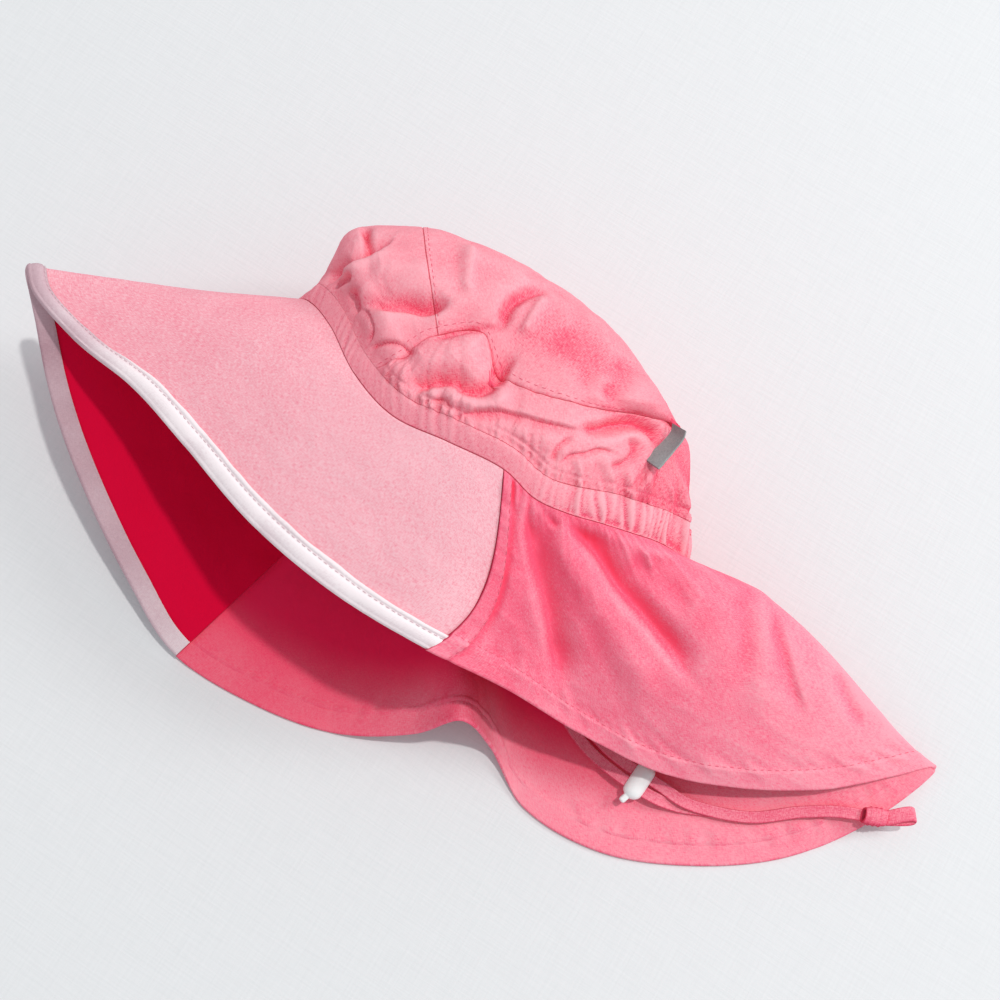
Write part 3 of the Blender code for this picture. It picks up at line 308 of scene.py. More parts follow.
# A row for each section over the crown, from the upper panel seam over the top to the lower one.
# x is a share of OPENING_LENGTH, y a share of CROWN_DEPTH and z a share of LYING_HEIGHT.
CROWN_ROWS = [CrownRow(*row) for row in (
    ("over the front band", 0.10, -0.190, 0.11, 1.00, -0.474, 0.43, 0.636, -0.430, -0.17, 0.01),
    ("front shoulder", 0.24, -0.182, 0.19, 1.00, -0.463, 0.70, 0.557, -0.366, 0.11, 0.00),
    ("cross seam", 0.36, -0.156, 0.30, 1.00, -0.355, 0.87, 0.511, -0.253, 0.31, 0.00),
    ("front of the top", 0.46, -0.086, 0.43, 1.00, -0.207, 0.96, 0.511, -0.128, 0.39, 0.00),
    ("top", 0.56, -0.002, 0.29, 1.00, -0.031, 0.99, 0.511, 0.008, 0.39, 0.00),
    ("back of the top", 0.66, 0.096, 0.31, 1.01, 0.122, 0.92, 0.511, 0.145, 0.33, 0.00),
    ("back shoulder", 0.76, 0.200, 0.42, 0.95, 0.264, 0.75, 0.511, 0.259, 0.19, 0.00),
    ("label", 0.86, 0.335, 0.62, 0.69, 0.372, 0.60, 0.511, 0.325, -0.02, 0.015),
    ("over the back band", 0.94, 0.347, 0.36, 0.775, 0.436, 0.33, 0.523, 0.270, -0.20, 0.050),
)]

Fold = namedtuple("Fold", "place points left right height")

# A row for each fold, seen from above, in millimetres from the opening's middle. A fold runs
# through its points, left and right are its half widths on either side, and a valley is negative.
CROWN_FOLDS = [
    Fold("front dart", ((-66, 22), (-62, 19), (-58, 15)), 2.0, 1.5, -2.4),
    Fold("front puff", ((-64, 33), (-52, 39), (-42, 43)), 7.0, 6.0, 1.8),
    Fold("front hollow", ((-58, 18), (-49, 21), (-42, 25), (-36, 27), (-33, 30), (-31, 35)), 5.0, 1.5, -4.4),
    Fold("fold at the seam", ((-28, 19), (-22, 26), (-17, 31), (-11, 36), (-10, 41)), 1.0, 1.6, -1.3),
    Fold("puff over the near side", ((-30, 7), (-20, 17), (-10, 25)), 6.5, 6.0, 2.4),
    Fold(
        "valley under the puff",
        ((-27, -5), (-22, 1), (-18, 6), (-13, 9), (-7, 9), (-2, 12), (0, 17), (-1, 23), (-1, 30)),
        4.4, 1.5, -4.6,
    ),
    Fold("ridge under the valley", ((-14, 4), (-5, 5), (3, 10), (5, 17)), 1.8, 2.4, 1.7),
    Fold(
        "lip of the casing",
        ((-7, -3), (-2, 3), (3, 7), (9, 10), (19, 13), (27, 16), (34, 19)),
        0.6, 3.4, -2.2,
    ),
    Fold("valley to the label", ((31, 18), (38, 24), (43, 31), (48, 36), (52, 37), (58, 33)), 2.2, 2.4, -4.6),
    Fold("ridge round the hollow", ((38, 18), (44, 24), (48, 30), (54, 30), (56, 22)), 1.8, 1.6, 0.7),
    Fold("crescent hollow", ((47, 29), (51, 26), (51, 21), (47, 14)), 1.5, 1.3, -1.8),
    Fold("valley under the label", ((58, 26), (58, 18), (57, 12)), 1.5, 1.5, -1.2),
    Fold("casing crease", ((33, 4), (34, 9), (38, 13), (42, 18), (47, 20)), 0.5, 1.4, -1.5),
    Fold("short casing crease", ((30, 3), (29, 8), (31, 15)), 0.5, 1.3, -1.4),
    Fold("top ridge", ((-38, 60), (-33, 52), (-27, 41)), 1.3, 3.5, 1.6),
    Fold("top valley", ((-42, 55), (-35, 46), (-28, 38)), 2.6, 3.0, -0.9),
    Fold("slanting valley", ((-6, 61), (-10, 55), (-12, 48), (-12, 42), (-10, 36)), 2.2, 2.4, -3.4),
    Fold("slanting ridge", ((-5, 57), (-4, 46), (-3, 37)), 3.0, 1.5, 1.9),
    Fold("hollow by the seam", ((31, 55), (35, 42), (34, 32)), 5.5, 4.0, -3.0),
    Fold("slack of the top", ((5, 48), (22, 42), (30, 38)), 9.0, 9.0, -1.8),
    Fold("front tuck", ((-58, 17), (-53, 16), (-48, 12), (-48, 6)), 0.6, 1.1, -1.5),
    Fold("second tuck", ((-46, 3), (-45, 7), (-43, 9), (-39, 11), (-35, 12), (-30, 11)), 0.6, 1.1, -1.5),
    Fold("third tuck", ((-28, -7), (-27, -4), (-23, -4), (-16, -1), (-12, 2), (-7, -1)), 0.7, 1.3, -1.8),
    Fold("front layer", ((-79, 19), (-76, 25), (-71, 29), (-66, 36), (-64, 41), (-64, 48)), 5.5, 0.5, -4.2),
    Fold("front layer's rim", ((-76, 22), (-71, 26), (-65, 33), (-61, 40)), 1.2, 2.2, 1.0),
    Fold("front crease", ((-78, 48), (-70, 39), (-67, 34)), 2.2, 1.0, -3.6),
    Fold("front pocket", ((-76, 20), (-72, 24), (-66, 26)), 1.8, 1.2, -3.2),
]
FLAP_FOLDS = [
    Fold(
        "valley by the side strip",
        ((31, -12), (39, -22), (45, -28), (53, -35), (59, -41), (66, -48), (73, -54)),
        5.5, 2.8, -4.8,
    ),
    Fold("long ridge", ((40, -14), (52, -19), (70, -27), (86, -33), (105, -40)), 5.0, 6.0, 2.2),
    Fold(
        "deep valley",
        ((43, -8), (52, -10), (60, -12), (72, -17), (85, -20), (97, -23), (111, -28)),
        5.5, 2.4, -6.0,
    ),
    Fold("shoulder of the valley", ((68, -6), (81, -8), (97, -5)), 6.0, 6.0, -2.2),
    Fold("notch below the band", ((36, -10), (43, -13)), 1.4, 1.4, -2.0),
    Fold("ledge below the band", ((50, -4), (66, -1), (84, 3)), 2.4, 2.4, 1.2),
    Fold("pinch", ((72, -1), (78, -5)), 0.9, 0.9, 1.2),
    Fold("back crease", ((124, 11), (138, -3), (154, -16)), 1.2, 4.5, -1.6),
    Fold("second back crease", ((108, 10), (120, -4), (126, -18)), 5.0, 5.0, -1.3),
    Fold("tip crease", ((155, 8), (166, -1), (176, -6)), 2.0, 3.0, -1.2),
    Fold("rise at the back", ((112, 18), (128, -8), (140, -24)), 5.0, 5.0, 1.0),
]

# Routes of the strap's two strands, from their seams to the knot
NEAR_STRAND = [
    (0.0175, -0.0040, 0.0838), (0.0180, -0.0045, 0.0700), (0.0205, -0.0070, 0.0500),
    (0.0255, -0.0130, 0.0290), (0.0350, -0.0220, 0.0130), (0.0490, -0.0330, 0.0072),
    (0.0660, -0.0450, 0.0056), (0.0820, -0.0550, 0.0056), (0.0960, -0.0615, 0.0068),
    (0.1070, -0.0634, 0.0075), (0.1153, -0.0636, 0.0075), (0.1235, -0.0636, 0.0075),
    (0.1330, -0.0640, 0.0056), (0.1445, -0.0612, 0.0040), (0.1585, -0.0552, 0.0035),
    (0.1735, -0.0435, 0.0036), (0.1850, -0.0362, 0.0042), (0.1930, -0.0326, 0.0046),
]
FAR_STRAND = [
    (-0.0400, -0.0470, 0.0105), (-0.0300, -0.0480, 0.0095), (-0.0100, -0.0450, 0.0088),
    (0.0110, -0.0400, 0.0088), (0.0300, -0.0385, 0.0090), (0.0460, -0.0425, 0.0090),
    (0.0620, -0.0505, 0.0066), (0.0780, -0.0600, 0.0050), (0.0920, -0.0660, 0.0050),
    (0.1070, -0.0686, 0.0074), (0.1153, -0.0689, 0.0075), (0.1235, -0.0686, 0.0072),
    (0.1330, -0.0664, 0.0035), (0.1440, -0.0615, 0.0024), (0.1585, -0.0552, 0.0023),
    (0.1735, -0.0435, 0.0024), (0.1850, -0.0362, 0.0030), (0.1930, -0.0326, 0.0034),
]
STRAP_WIDTH = 0.0045
STRAP_WALL = 0.0009
STRAP_ROOM = 0.0004
TOGGLE_PLACE = (0.1153, -0.0662, 0.0075)
TOGGLE_TURN = math.radians(-3)
TOGGLE_LENGTH = 0.0155
TOGGLE_WIDTH = 0.0080
TOGGLE_HEIGHT = 0.0068
TOGGLE_SLOT = (TOGGLE_WIDTH * 2, 0.0104, 0.0020)
TOGGLE_TAIL = (0.0026, 0.0050, 0.0028)
TAIL_PLACE = (-0.0010, -TOGGLE_LENGTH / 2 - 0.0002, 0.0)
TAIL_TURN = math.radians(-14)
KNOT_LENGTH = 0.0085
KNOT_WIDTH = 0.0082
KNOT_HEIGHT = 0.0052
END_LOOP = 0.0125
KNOT_WALL = 0.0010
KNOT_INSET = 0.0006
LOOP_WIDTH = 0.0056
UP = np.array([0.0, 0.0, 1.0])

# Places of the lights as shares of a metre right and up in the picture and above the floor
KEY_LIGHT_AT = (0.36, 0.22, 1.0)
SIDE_LIGHT_AT = (1.15, 0.25, 0.95)
FLOOR_SIZE = 6.0
FLOOR_HEIGHT = -0.0002


# Numbers and curves


def smooth_step(value):
    """0 below 0, 1 above 1, and an even S between."""
    held = np.clip(value, 0.0, 1.0)
    return held * held * (3.0 - 2.0 * held)


def unit(vectors):
    """Each row at length 1."""
    return vectors / np.maximum(np.linalg.norm(vectors, axis=-1, keepdims=True), 1e-12)


def spline(knots, rows, at, period=None):
    """Smooth curve through rows at rising knots, closed after a period if one is given."""
    knots = np.asarray(knots, float)
    rows = np.asarray(rows, float)
    at = np.asarray(at, float)
    if period:
        knots = np.concatenate([knots[-2:] - period, knots, knots[:3] + period])
        rows = np.concatenate([rows[-2:], rows, rows[:3]])
        at = np.mod(at - knots[2], period) + knots[2]
    steps = np.diff(knots)
    slopes = np.diff(rows, axis=0) / steps[:, None]
    weight = (steps[:-1] / (steps[:-1] + steps[1:]))[:, None]
    inner = slopes[:-1] * (1.0 - weight) + slopes[1:] * weight
    tangents = np.concatenate([slopes[:1], inner, slopes[-1:]])
    index = np.clip(np.searchsorted(knots, at, side="right") - 1, 0, len(steps) - 1)
    step = steps[index][:, None]
    t = ((at - knots[index]) / steps[index])[:, None]
    start, end = rows[index], rows[index + 1]
    leave, arrive = tangents[index] * step, tangents[index + 1] * step
    return (
        start * (1 + 2 * t) * (1 - t) ** 2
        + leave * t * (1 - t) ** 2
        + end * t * t * (3 - 2 * t)
        + arrive * t * t * (t - 1)
    )


def gaps(points, axis=0):
    """Distances between neighbouring points."""
    return np.linalg.norm(np.diff(points, axis=axis), axis=-1)


def running(steps):
    """Sums of the steps so far, from 0."""
    return np.concatenate([[0.0], np.cumsum(steps)])


def lengths_along(line):
    """Distance from a line's start to each of its points."""
    return running(gaps(line))


def raised(grid, ways, height):
    """The grid with each point moved along its way by its height."""
    return grid + ways * height[..., None]


def sampled(line, lengths, at):
    """Points of a line, or of what runs along it, at distances from its start."""
    return np.stack([np.interp(at, lengths, line[:, axis]) for axis in range(line.shape[1])], axis=1)


def paired(one, two):
    """Two values for each point, spread over one shape."""
    return np.stack(np.broadcast_arrays(one, two), axis=-1)


def bell(distance, width):
    """1 at no distance, fading to 0 past the width."""
    return np.exp(-((distance / width) ** 2))


def soft_noise(points, size, seed):
    """Smooth noise from -1 to 1 with humps of about the given size."""
    place = np.asarray(points, float) / size
    cell = np.floor(place).astype(np.int64)
    part = place - cell
    fade = part ** 3 * (part * (part * 6.0 - 15.0) + 10.0)
    total = np.zeros(place.shape[:-1])
    for corner in itertools.product((0, 1), repeat=place.shape[-1]):
        mixed = np.full(total.shape, seed * 7919 + 13, dtype=np.int64)
        weight = np.ones(total.shape)
        for axis, step in enumerate(corner):
            mixed = (mixed * 1103515245 + (cell[..., axis] + step) * 12345 + 6691 * (axis + 1)) & 0x7FFFFFFF
            mixed = mixed ^ (mixed >> 11)
            weight = weight * (fade[..., axis] if step else 1.0 - fade[..., axis])
        slope = np.zeros(total.shape)
        for axis, step in enumerate(corner):
            mixed = (mixed * 48271 + 11) & 0x7FFFFFFF
            slope += (((mixed >> 8) & 0xFFFF) / 32767.5 - 1.0) * (part[..., axis] - step)
        total += weight * slope
    return np.clip(total * 1.9, -1.0, 1.0)


def creases(points, size, seed):
    """Narrow ridges between soft humps, from 0 to 1."""
    return (1.0 - np.abs(soft_noise(points, size, seed))) ** 3


def pleats(points, size, seed, steep=1.5, low=0.4):
    """Round ridges with narrow valleys between them."""
    return np.abs(soft_noise(points, size, seed)) * steep - low


def layers(points, *rows, form=soft_noise):
    """Noise in layers, with a row of height, size and seed for each."""
    return sum(height * form(points, size, seed) for height, size, seed in rows)


# Shape of the hat


def elastic(share):
    """1 where elastic gathers the band and 0 at the front."""
    start, end = (share - ELASTIC_START) / ELASTIC_EASE, (ELASTIC_END - share) / ELASTIC_EASE
    return smooth_step(start) * smooth_step(end)


class Ring:
    """The closed ring of the head opening, with the brim's and flap's spokes on it."""

    def __init__(self):
        rows = BRIM_FRONT_HALF + FLAP_ROUND + BRIM_BACK_HALF
        depths = [BRIM_DEPTH] * len(BRIM_FRONT_HALF) + [FLAP_DEPTH] * len(FLAP_ROUND)
        depths += [BRIM_DEPTH] * len(BRIM_BACK_HALF)
        seam = [
            (row.seam_x * OPENING_LENGTH, row.seam_y * OPENING_LENGTH, row.seam_z * LYING_HEIGHT)
            for row in rows
        ]
        edge = [
            (point[0] + row.out_x * depth, point[1] + row.out_y * depth, row.edge_z * LYING_HEIGHT)
            for row, depth, point in zip(rows, depths, seam)
        ]
        bow = [(0.0, row.bow_y * depth, row.bow_z * depth) for row, depth in zip(rows, depths)]
        self.rows = np.hstack([seam, edge, bow])
        closed = np.vstack([self.rows, self.rows[:1]])
        along = running(gaps(closed[:, :3]) + 0.5 * gaps(closed[:, 3:6]))
        self.knots = along[:-1]
        self.period = along[-1]
        self.near_seam = self.knots[len(BRIM_FRONT_HALF) - 1]
        self.far_seam = self.knots[len(BRIM_FRONT_HALF) + len(FLAP_ROUND)]
        fine = np.linspace(0.0, self.period, RING_STEPS + 1)
        line = self.at(fine)[:, :3]
        lengths = lengths_along(line)
        self.length = lengths[-1]
        self._fine = fine
        self._shares = lengths / lengths[-1]
        self.middle = line.mean(axis=0)
        beside = np.array([self.near_seam - MM, self.near_seam + MM])
        self.near_rate = 2 * MM / np.linalg.norm(np.diff(self.spoke(beside, 0.5), axis=0))

    def at(self, places):
        """Seam point, edge point and bow at places along the ring's knots."""
        return spline(self.knots, self.rows, places, self.period)

    def place(self, shares):
        """Knot places of shares of the ring's length from the brim's front."""
        turns = np.floor(shares)
        return np.interp(shares - turns, self._shares, self._fine) + turns * self.period

    def share(self, place):
        """Share of the ring's length at a knot place."""
        return np.interp(np.mod(place, self.period), self._fine, self._shares)

    def seam(self, places):
        return self.at(places)[:, :3]

    def outward(self, places):
        """Directions away from the opening's middle, square to the ring."""
        here = self.seam(places)
        ahead = self.seam(np.asarray(places) + 0.001)
        tangent = unit(ahead - here)
        away = here - self.middle
        away[:, 1] = 0.0
        away -= tangent * (away * tangent).sum(axis=1, keepdims=True)
        return unit(away)

    def band_top(self, places):
        """The line where the band meets the crown."""
        places = np.asarray(places, float)
        tall = self.tall(places)
        away = self.outward(places)
        lean = 0.3 * np.clip(away[:, 2], 0, 1) - 0.5 * np.abs(away[:, 0])
        way = unit(np.array([[0.0, 0.9, 0.0]]) + lean[:, None] * away)
        return raised(self.seam(places), way, tall)

    def bowed(self, places, share):
        """Places moved round so that the upper side seam curves towards the flap."""
        places = np.asarray(places, float)
        fade = 1.0 - smooth_step(np.abs(places - self.near_seam) / SIDE_SEAM_EASE)
        return places + SIDE_SEAM_BOW * self.near_rate * 4.0 * share * (1.0 - share) * fade

    def tall(self, places):
        """How far the band stands from its seam at each place."""
        share = self.share(np.asarray(places, float))
        return BAND_HEIGHT + ELASTIC_HEIGHT * elastic(share)

    def spoke(self, places, share):
        """Points a share of the way from the seam to the outer edge, bowed most at a third of it."""
        rows = self.at(places)
        share = np.broadcast_to(share, np.shape(places))[:, None]
        lift = 27 / 4 * share * (1.0 - share) ** 2
        return rows[:, :3] + (rows[:, 3:6] - rows[:, :3]) * share + rows[:, 6:9] * lift

    def normal(self, places, share):
        """Directions out of the outer face of brim or flap."""
        places = np.asarray(places, float)
        share = np.broadcast_to(share, places.shape)
        along = self.spoke(places + 0.0005, share) - self.spoke(places - 0.0005, share)
        out = self.spoke(places, share + 0.01) - self.spoke(places, share - 0.01)
        return unit(np.cross(out, along))

    def wall_way(self, places, share):
        """Outer face directions that meet the band's at the seam."""
        blend = smooth_step(np.broadcast_to(share, np.shape(places)) / 0.18)[:, None]
        return unit(self.outward(places) * (1 - blend) + self.normal(places, share) * blend)

    def near(self, points):
        """Distance of each point to the line above the band, and the ring's share there."""
        shares = np.linspace(0.0, 1.0, 481)[:-1]
        line = self.band_top(self.place(shares))
        flat = points.reshape(-1, 3)
        distance = np.empty(len(flat))
        share = np.empty(len(flat))
        for start in range(0, len(flat), 4096):
            part = flat[start:start + 4096]
            squares = ((part[:, None, :] - line[None]) ** 2).sum(axis=-1)
            index = squares.argmin(axis=1)
            distance[start:start + 4096] = np.sqrt(squares[np.arange(len(part)), index])
            share[start:start + 4096] = shares[index]
        return distance.reshape(points.shape[:-1]), share.reshape(points.shape[:-1])


RING = Ring()


def fold_height(points, folds, upward):
    """How far the folds push each point of the upper side out along its normal."""
    total = np.zeros(points.shape[:-1])
    for fold in folds:
        knots = lengths_along(np.array(fold.points, float))
        line = spline(knots, fold.points, np.linspace(0.0, knots[-1], 4 * len(knots))) * MM
        lengths = lengths_along(line)
        margin = 3.0 * max(fold.left, fold.right) * MM
        low, high = line.min(axis=0) - margin, line.max(axis=0) + margin
        near = ((points[..., :2] > low) & (points[..., :2] < high)).all(axis=-1)
        plan = points[near][:, :2]
        nearest = np.full(len(plan), margin)
        side = np.zeros(len(plan))
        along = np.zeros(len(plan))
        for index, (start, end) in enumerate(zip(line, line[1:])):
            step = end - start
            size = np.linalg.norm(step)
            share = np.clip(((plan - start) @ step) / size ** 2, 0.0, 1.0)
            gap = plan - start - share[:, None] * step
            away = np.linalg.norm(gap, axis=1)
            closer = away < nearest
            nearest[closer] = away[closer]
            side[closer] = ((step[0] * gap[:, 1] - step[1] * gap[:, 0]) / size)[closer]
            along[closer] = ((lengths[index] + share * size) / lengths[-1])[closer]
        lean = smooth_step(0.5 + side / MM)
        width = (fold.right + (fold.left - fold.right) * lean) * MM
        taper = smooth_step(along / 0.25 + 0.15) * smooth_step((1.0 - along) / 0.25 + 0.15)
        total[near] += fold.height * MM * taper * bell(nearest, width)
    return total * upward


def gathers(share, height, tall):
    """Relief of the gathered casing and of the cloth above it, by the distance from its seam."""
    along = share * RING.length
    drift = 0.0024 * soft_noise(paired(along, height * 0.6), 0.012, 21)
    plan = paired(along + drift + 0.45 * height, height * 0.10)
    fine = pleats(plan, 0.0040, 22, 1.6, 0.45)
    broad = pleats(plan * np.array([1.0, 0.7]), 0.0088, 23, 1.5, 0.45)
    start, end = (share - GATHERS_START) / GATHERS_EASE, (1.0 - GATHERS_START - share) / GATHERS_EASE
    sides = smooth_step(start) * smooth_step(end)
    ribbed = elastic(share)
    strong = ribbed + (sides - ribbed) * smooth_step((height - tall + 0.0012) / 0.0025)
    strong = (0.14 + 0.86 * strong) * (0.78 + 0.45 * soft_noise(plan, 0.017, 24))
    from_seam = height - tall - CASING_SEAM
    above = np.clip(from_seam, 0.0, None)
    rise = smooth_step(height / 0.0012 + 0.15)
    stitched = 1.0 - 0.55 * bell(from_seam, 0.0011)
    relief = fine * (0.0018 + 0.0006 * ribbed) * np.exp(-above / 0.0060)
    relief = relief + broad * 0.0017 * np.exp(-above / 0.013)
    groove = -0.0006 * bell(from_seam, 0.0008)
    return (relief * rise * stitched + groove) * strong


def evened(grid, passes):
    """The grid with its small folds smoothed away."""
    grid = grid.copy()
    for _ in range(passes):
        grid[1:-1] = (grid[:-2] + grid[1:-1] * 2 + grid[2:]) / 4
        grid[:, 1:-1] = (grid[:, :-2] + grid[:, 1:-1] * 2 + grid[:, 2:]) / 4
    return grid


def hollows(grid, ways, passes=24, deep=0.0005):
    """How far each point lies below its surroundings, from -1 on a ridge to 1 in a valley."""
    return np.clip(((evened(grid, passes) - grid) * ways).sum(axis=-1) / deep, -1.0, 1.0)


def grid_normals(grid, outward):
    """Normals of a grid of points, on the side that outward points to."""
    normals = unit(np.cross(np.gradient(grid, axis=0), np.gradient(grid, axis=1)))
    return -normals if (normals * outward).sum() < 0 else normals


def bordered(grid, ways, hollow, borders, dip=SEAM_DIP):
    """The grid with its sewn borders drawn in beside a fine line, and masks for the painted shade along the borders
    and in the hollows.

    borders says for the first row, last row, first column and last column whether it is sewn.
    """
    empty = np.zeros(grid.shape[:2] + (1,))
    packed = np.concatenate([grid, ways, empty, hollow[..., None]], axis=-1)
    for sewn, axis, first in zip(borders, (0, 0, 1, 1), (True, False, True, False)):
        if not sewn:
            continue
        lines = np.moveaxis(packed, axis, 0)
        lines = lines if first else lines[::-1]
        edge, beside = lines[0].copy(), lines[1]
        gap = np.linalg.norm((beside - edge)[:, :3], axis=1)[:, None]
        extra = edge + (beside - edge) * np.clip(SEAM_LINE / np.maximum(gap, 1e-6), 0.0, 0.6)
        edge[:, :3] -= edge[:, 3:6] * dip
        edge[:, 6] = 1.0
        lines = np.concatenate([edge[None], extra[None], lines[1:]])
        lines = lines if first else lines[::-1]
        packed = np.moveaxis(lines, 0, axis)
    # Masks of painted shade: a dark line along each sewn border, and the hollow mask.
    masks = {"seam_shade_line": packed[..., 6], "hollow": packed[..., 7]}
    return packed[..., :3], unit(packed[..., 3:6]), masks


def eased(ways, passes=6):
    """Wall directions evened out along the ring, so that walls don't cross inside a tight bend."""
    ways = ways.copy()
    for _ in range(passes):
        ways[:, 1:-1] = unit(ways[:, 1:-1] * 2 + ways[:, :-2] + ways[:, 2:])
    return ways


def above_floor(grid, height=0.0):
    """The grid with nothing lower than the height."""
    grid = grid.copy()
    grid[..., 2] = np.maximum(grid[..., 2], height)
    return grid


def spoke_places(first, last, spokes):
    """Places along the ring that are evenly spaced half way out to the edge."""
    fine = np.linspace(first, last, 1201)
    lengths = lengths_along(RING.spoke(fine, 0.5))
    return np.interp(np.linspace(0, lengths[-1], spokes + 1), lengths, fine)


def spoke_grid(places, shares):
    """Points and outer face directions at shares of the spokes at places."""
    bowed = [RING.bowed(places, share) for share in shares]
    return (
        np.array([RING.spoke(line, share) for line, share in zip(bowed, shares)]),
        np.array([RING.wall_way(line, share) for line, share in zip(bowed, shares)]),
    )


def cloth_plan(grid):
    """Lengths along and across a grid, in metres, for the weave."""
    along, down = running(gaps(grid, 1).mean(axis=0)), running(gaps(grid).mean(axis=1))
    return np.stack(np.meshgrid(along, down), axis=-1)


# Making meshes


def mesh_object(name, points, faces, finish, uvs=None, sharp=60.0, masks=None):
    """A smooth mesh with its own UV map and masks, facing outwards."""
    data = bpy.data.meshes.new(name)
    data.from_pydata(np.asarray(points, float).tolist(), [], faces)
    if uvs is not None:
        layer = data.uv_layers.new(name="cloth_plan")
        index = np.empty(len(data.loops), dtype=np.int32)
        data.loops.foreach_get("vertex_index", index)
        layer.data.foreach_set("uv", np.asarray(uvs, np.float32)[index].ravel())
    for label, values in (masks or {}).items():
        mask = data.attributes.new(label, "FLOAT", "POINT")
        mask.data.foreach_set("value", np.asarray(values, np.float32).ravel())
    mesh = bmesh.new()
    mesh.from_mesh(data)
    bmesh.ops.recalc_face_normals(mesh, faces=mesh.faces[:])
    if mesh.calc_volume(signed=True) < 0:
        bmesh.ops.reverse_faces(mesh, faces=mesh.faces[:])
    mesh.to_mesh(data)
    mesh.free()
    data.shade_smooth()
    data.set_sharp_from_angle(angle=math.radians(sharp))
    data.materials.append(finish)
    made = bpy.data.objects.new(name, data)
    bpy.context.scene.collection.objects.link(made)
    return made


def quads(count, columns, closed=False):
    """Numbers of the points of a section carried along columns, and the faces round it."""
    number = np.arange(count * columns).reshape(count, columns)
    two = np.roll(number, -1, axis=0)
    faces = np.stack([number, two, np.roll(two, -1, axis=1), np.roll(number, -1, axis=1)], axis=-1)
    return number, faces[:, :columns if closed else columns - 1].reshape(-1, 4).tolist()


def cloth_wall(name, outer, ways, thick, finish, masks=None, closed=False, round_start=False, round_end=True):
    """A closed cloth wall below an outer face, with rounded folds at the ends of its rows."""
    rows, columns = outer.shape[:2]
    thick = np.broadcast_to(thick, (rows, 1, 1)) if np.ndim(thick) < 3 else thick
    inner = above_floor(outer - ways * thick)
    outer = above_floor(outer)
    plan = cloth_plan(outer)
    loop, uvs, order = list(outer), list(plan), list(range(rows))
    hidden = [np.zeros(columns)] * rows

    def rim(index, beyond):
        middle = (outer[index] + inner[index]) / 2
        half = (outer[index] - inner[index]) / 2
        out = unit(outer[index] - outer[beyond]) * np.linalg.norm(half, axis=-1, keepdims=True)
        steps = [math.radians(angle) for angle in (45, 90, 135)]
        made = [middle + half * math.cos(turn) + out * math.sin(turn) for turn in steps]
        return [above_floor(line) for line in made]

    def add(lines, places):
        loop.extend(lines)
        uvs.extend([plan[place] for place in places])
        order.extend(places)
        hidden.extend([np.ones(columns)] * len(places))

    if round_end:
        add(rim(-1, -2), [-1] * 3)
    add(list(inner[::-1]), list(range(rows))[::-1])
    if round_start:
        add(rim(0, 1)[::-1], [0] * 3)
    grid = np.array(loop)
    count = len(grid)
    number, faces = quads(count, columns, closed)
    if not closed:
        start = 3 if round_start else 0
        for column in (0, columns - 1):
            strip = number[:, column]
            for i in range(rows - 1):
                k = count - start - 1 - i
                faces.append([int(strip[i]), int(strip[i + 1]), int(strip[k - 1]), int(strip[k])])
            if round_end:
                faces.append([int(strip[rows - 1 + k]) for k in range(5)])
            if round_start:
                faces.append([int(strip[(count - 4 + k) % count]) for k in range(5)])
    kept = {label: np.asarray(values)[order] for label, values in (masks or {}).items()}
    # Painted shade over the whole inner side, scaled by the piece's shaded mask where it has one.
    kept["painted_inner_shade"] = np.array(hidden) * kept.pop("shaded", 1.0)
    return mesh_object(name, grid.reshape(-1, 3), faces, finish, np.array(uvs).reshape(-1, 2), masks=kept)


def section_piece(name, grid, along, finish, masks=None, sharp=60.0):
    """A closed piece from a section carried along columns, with flat ends."""
    number, faces = quads(*grid.shape[:2])
    faces += [number[:, 0].tolist(), number[:, -1].tolist()]
    plan = np.stack(np.meshgrid(along, lengths_along(grid[:, grid.shape[1] // 2])), axis=-1)
    return mesh_object(name, grid.reshape(-1, 3), faces, finish, plan.reshape(-1, 2), sharp, masks)


def cut_sheet(made, grid, held, rests_on, with_pieces=()):
    """Declares a piece of cloth by the size it was cut to, measured on its unfolded form."""
    one, two = grid[1:, :-1] - grid[:-1, 1:], grid[1:, 1:] - grid[:-1, :-1]
    area = float(np.linalg.norm(np.cross(one, two), axis=-1).sum() / 2)
    width, length = (float(gaps(grid, axis).sum(axis=axis).max()) for axis in (1, 0))
    area = float(np.clip(area, 0.31 * width * length, width * length))
    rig.sheet(
        made, flat=(width, length), held=held, rests_on=rests_on, area=area, with_pieces=list(with_pieces)
    )


def placed(made, slot_name, *nodes):
    """Moves a finished piece from the ring's own middle to its place and ties it to the frame."""
    made.data.transform(Matrix.Translation(Vector(ORIGIN_SHIFT)))
    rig.ride(made, "root")
    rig.slot(made, slot_name)
    if nodes:
        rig.replaces(made, *nodes)
    return made


def stitch_row(name, line, ways, finish, pitch=STITCH_PITCH, sink=0.0):
    """A row of stitches along a line on the cloth, one small thread modelled once and repeated."""
    bpy.ops.mesh.primitive_uv_sphere_add(segments=6, ring_count=4, radius=0.5)
    thread = bpy.context.object
    shape = np.array([vertex.co[:] for vertex in thread.data.vertices])[:, [2, 0, 1]] * THREAD_SIZE
    faces = [list(polygon.vertices) for polygon in thread.data.polygons]
    bpy.data.objects.remove(thread, do_unlink=True)
    lengths = lengths_along(line)
    count = int(lengths[-1] / pitch)
    at = (np.arange(count) + 0.5) * lengths[-1] / count
    middle, ahead, behind = (sampled(line, lengths, at + step) for step in (0.0, 0.0005, -0.0005))
    up = unit(sampled(ways, lengths, at))
    along = unit(ahead - behind)
    sway = soft_noise(paired(at * 90, 0.0), 1.0, 5)[:, None] * 0.12
    along = unit(along + unit(np.cross(up, along)) * sway)
    axes = np.stack([along, unit(np.cross(up, along)), up], axis=1)
    points = (middle - up * sink)[:, None] + shape @ axes
    total = [[index + k * len(shape) for index in face] for k in range(count) for face in faces]
    return mesh_object(name, points.reshape(-1, 3), total, finish, sharp=180.0)


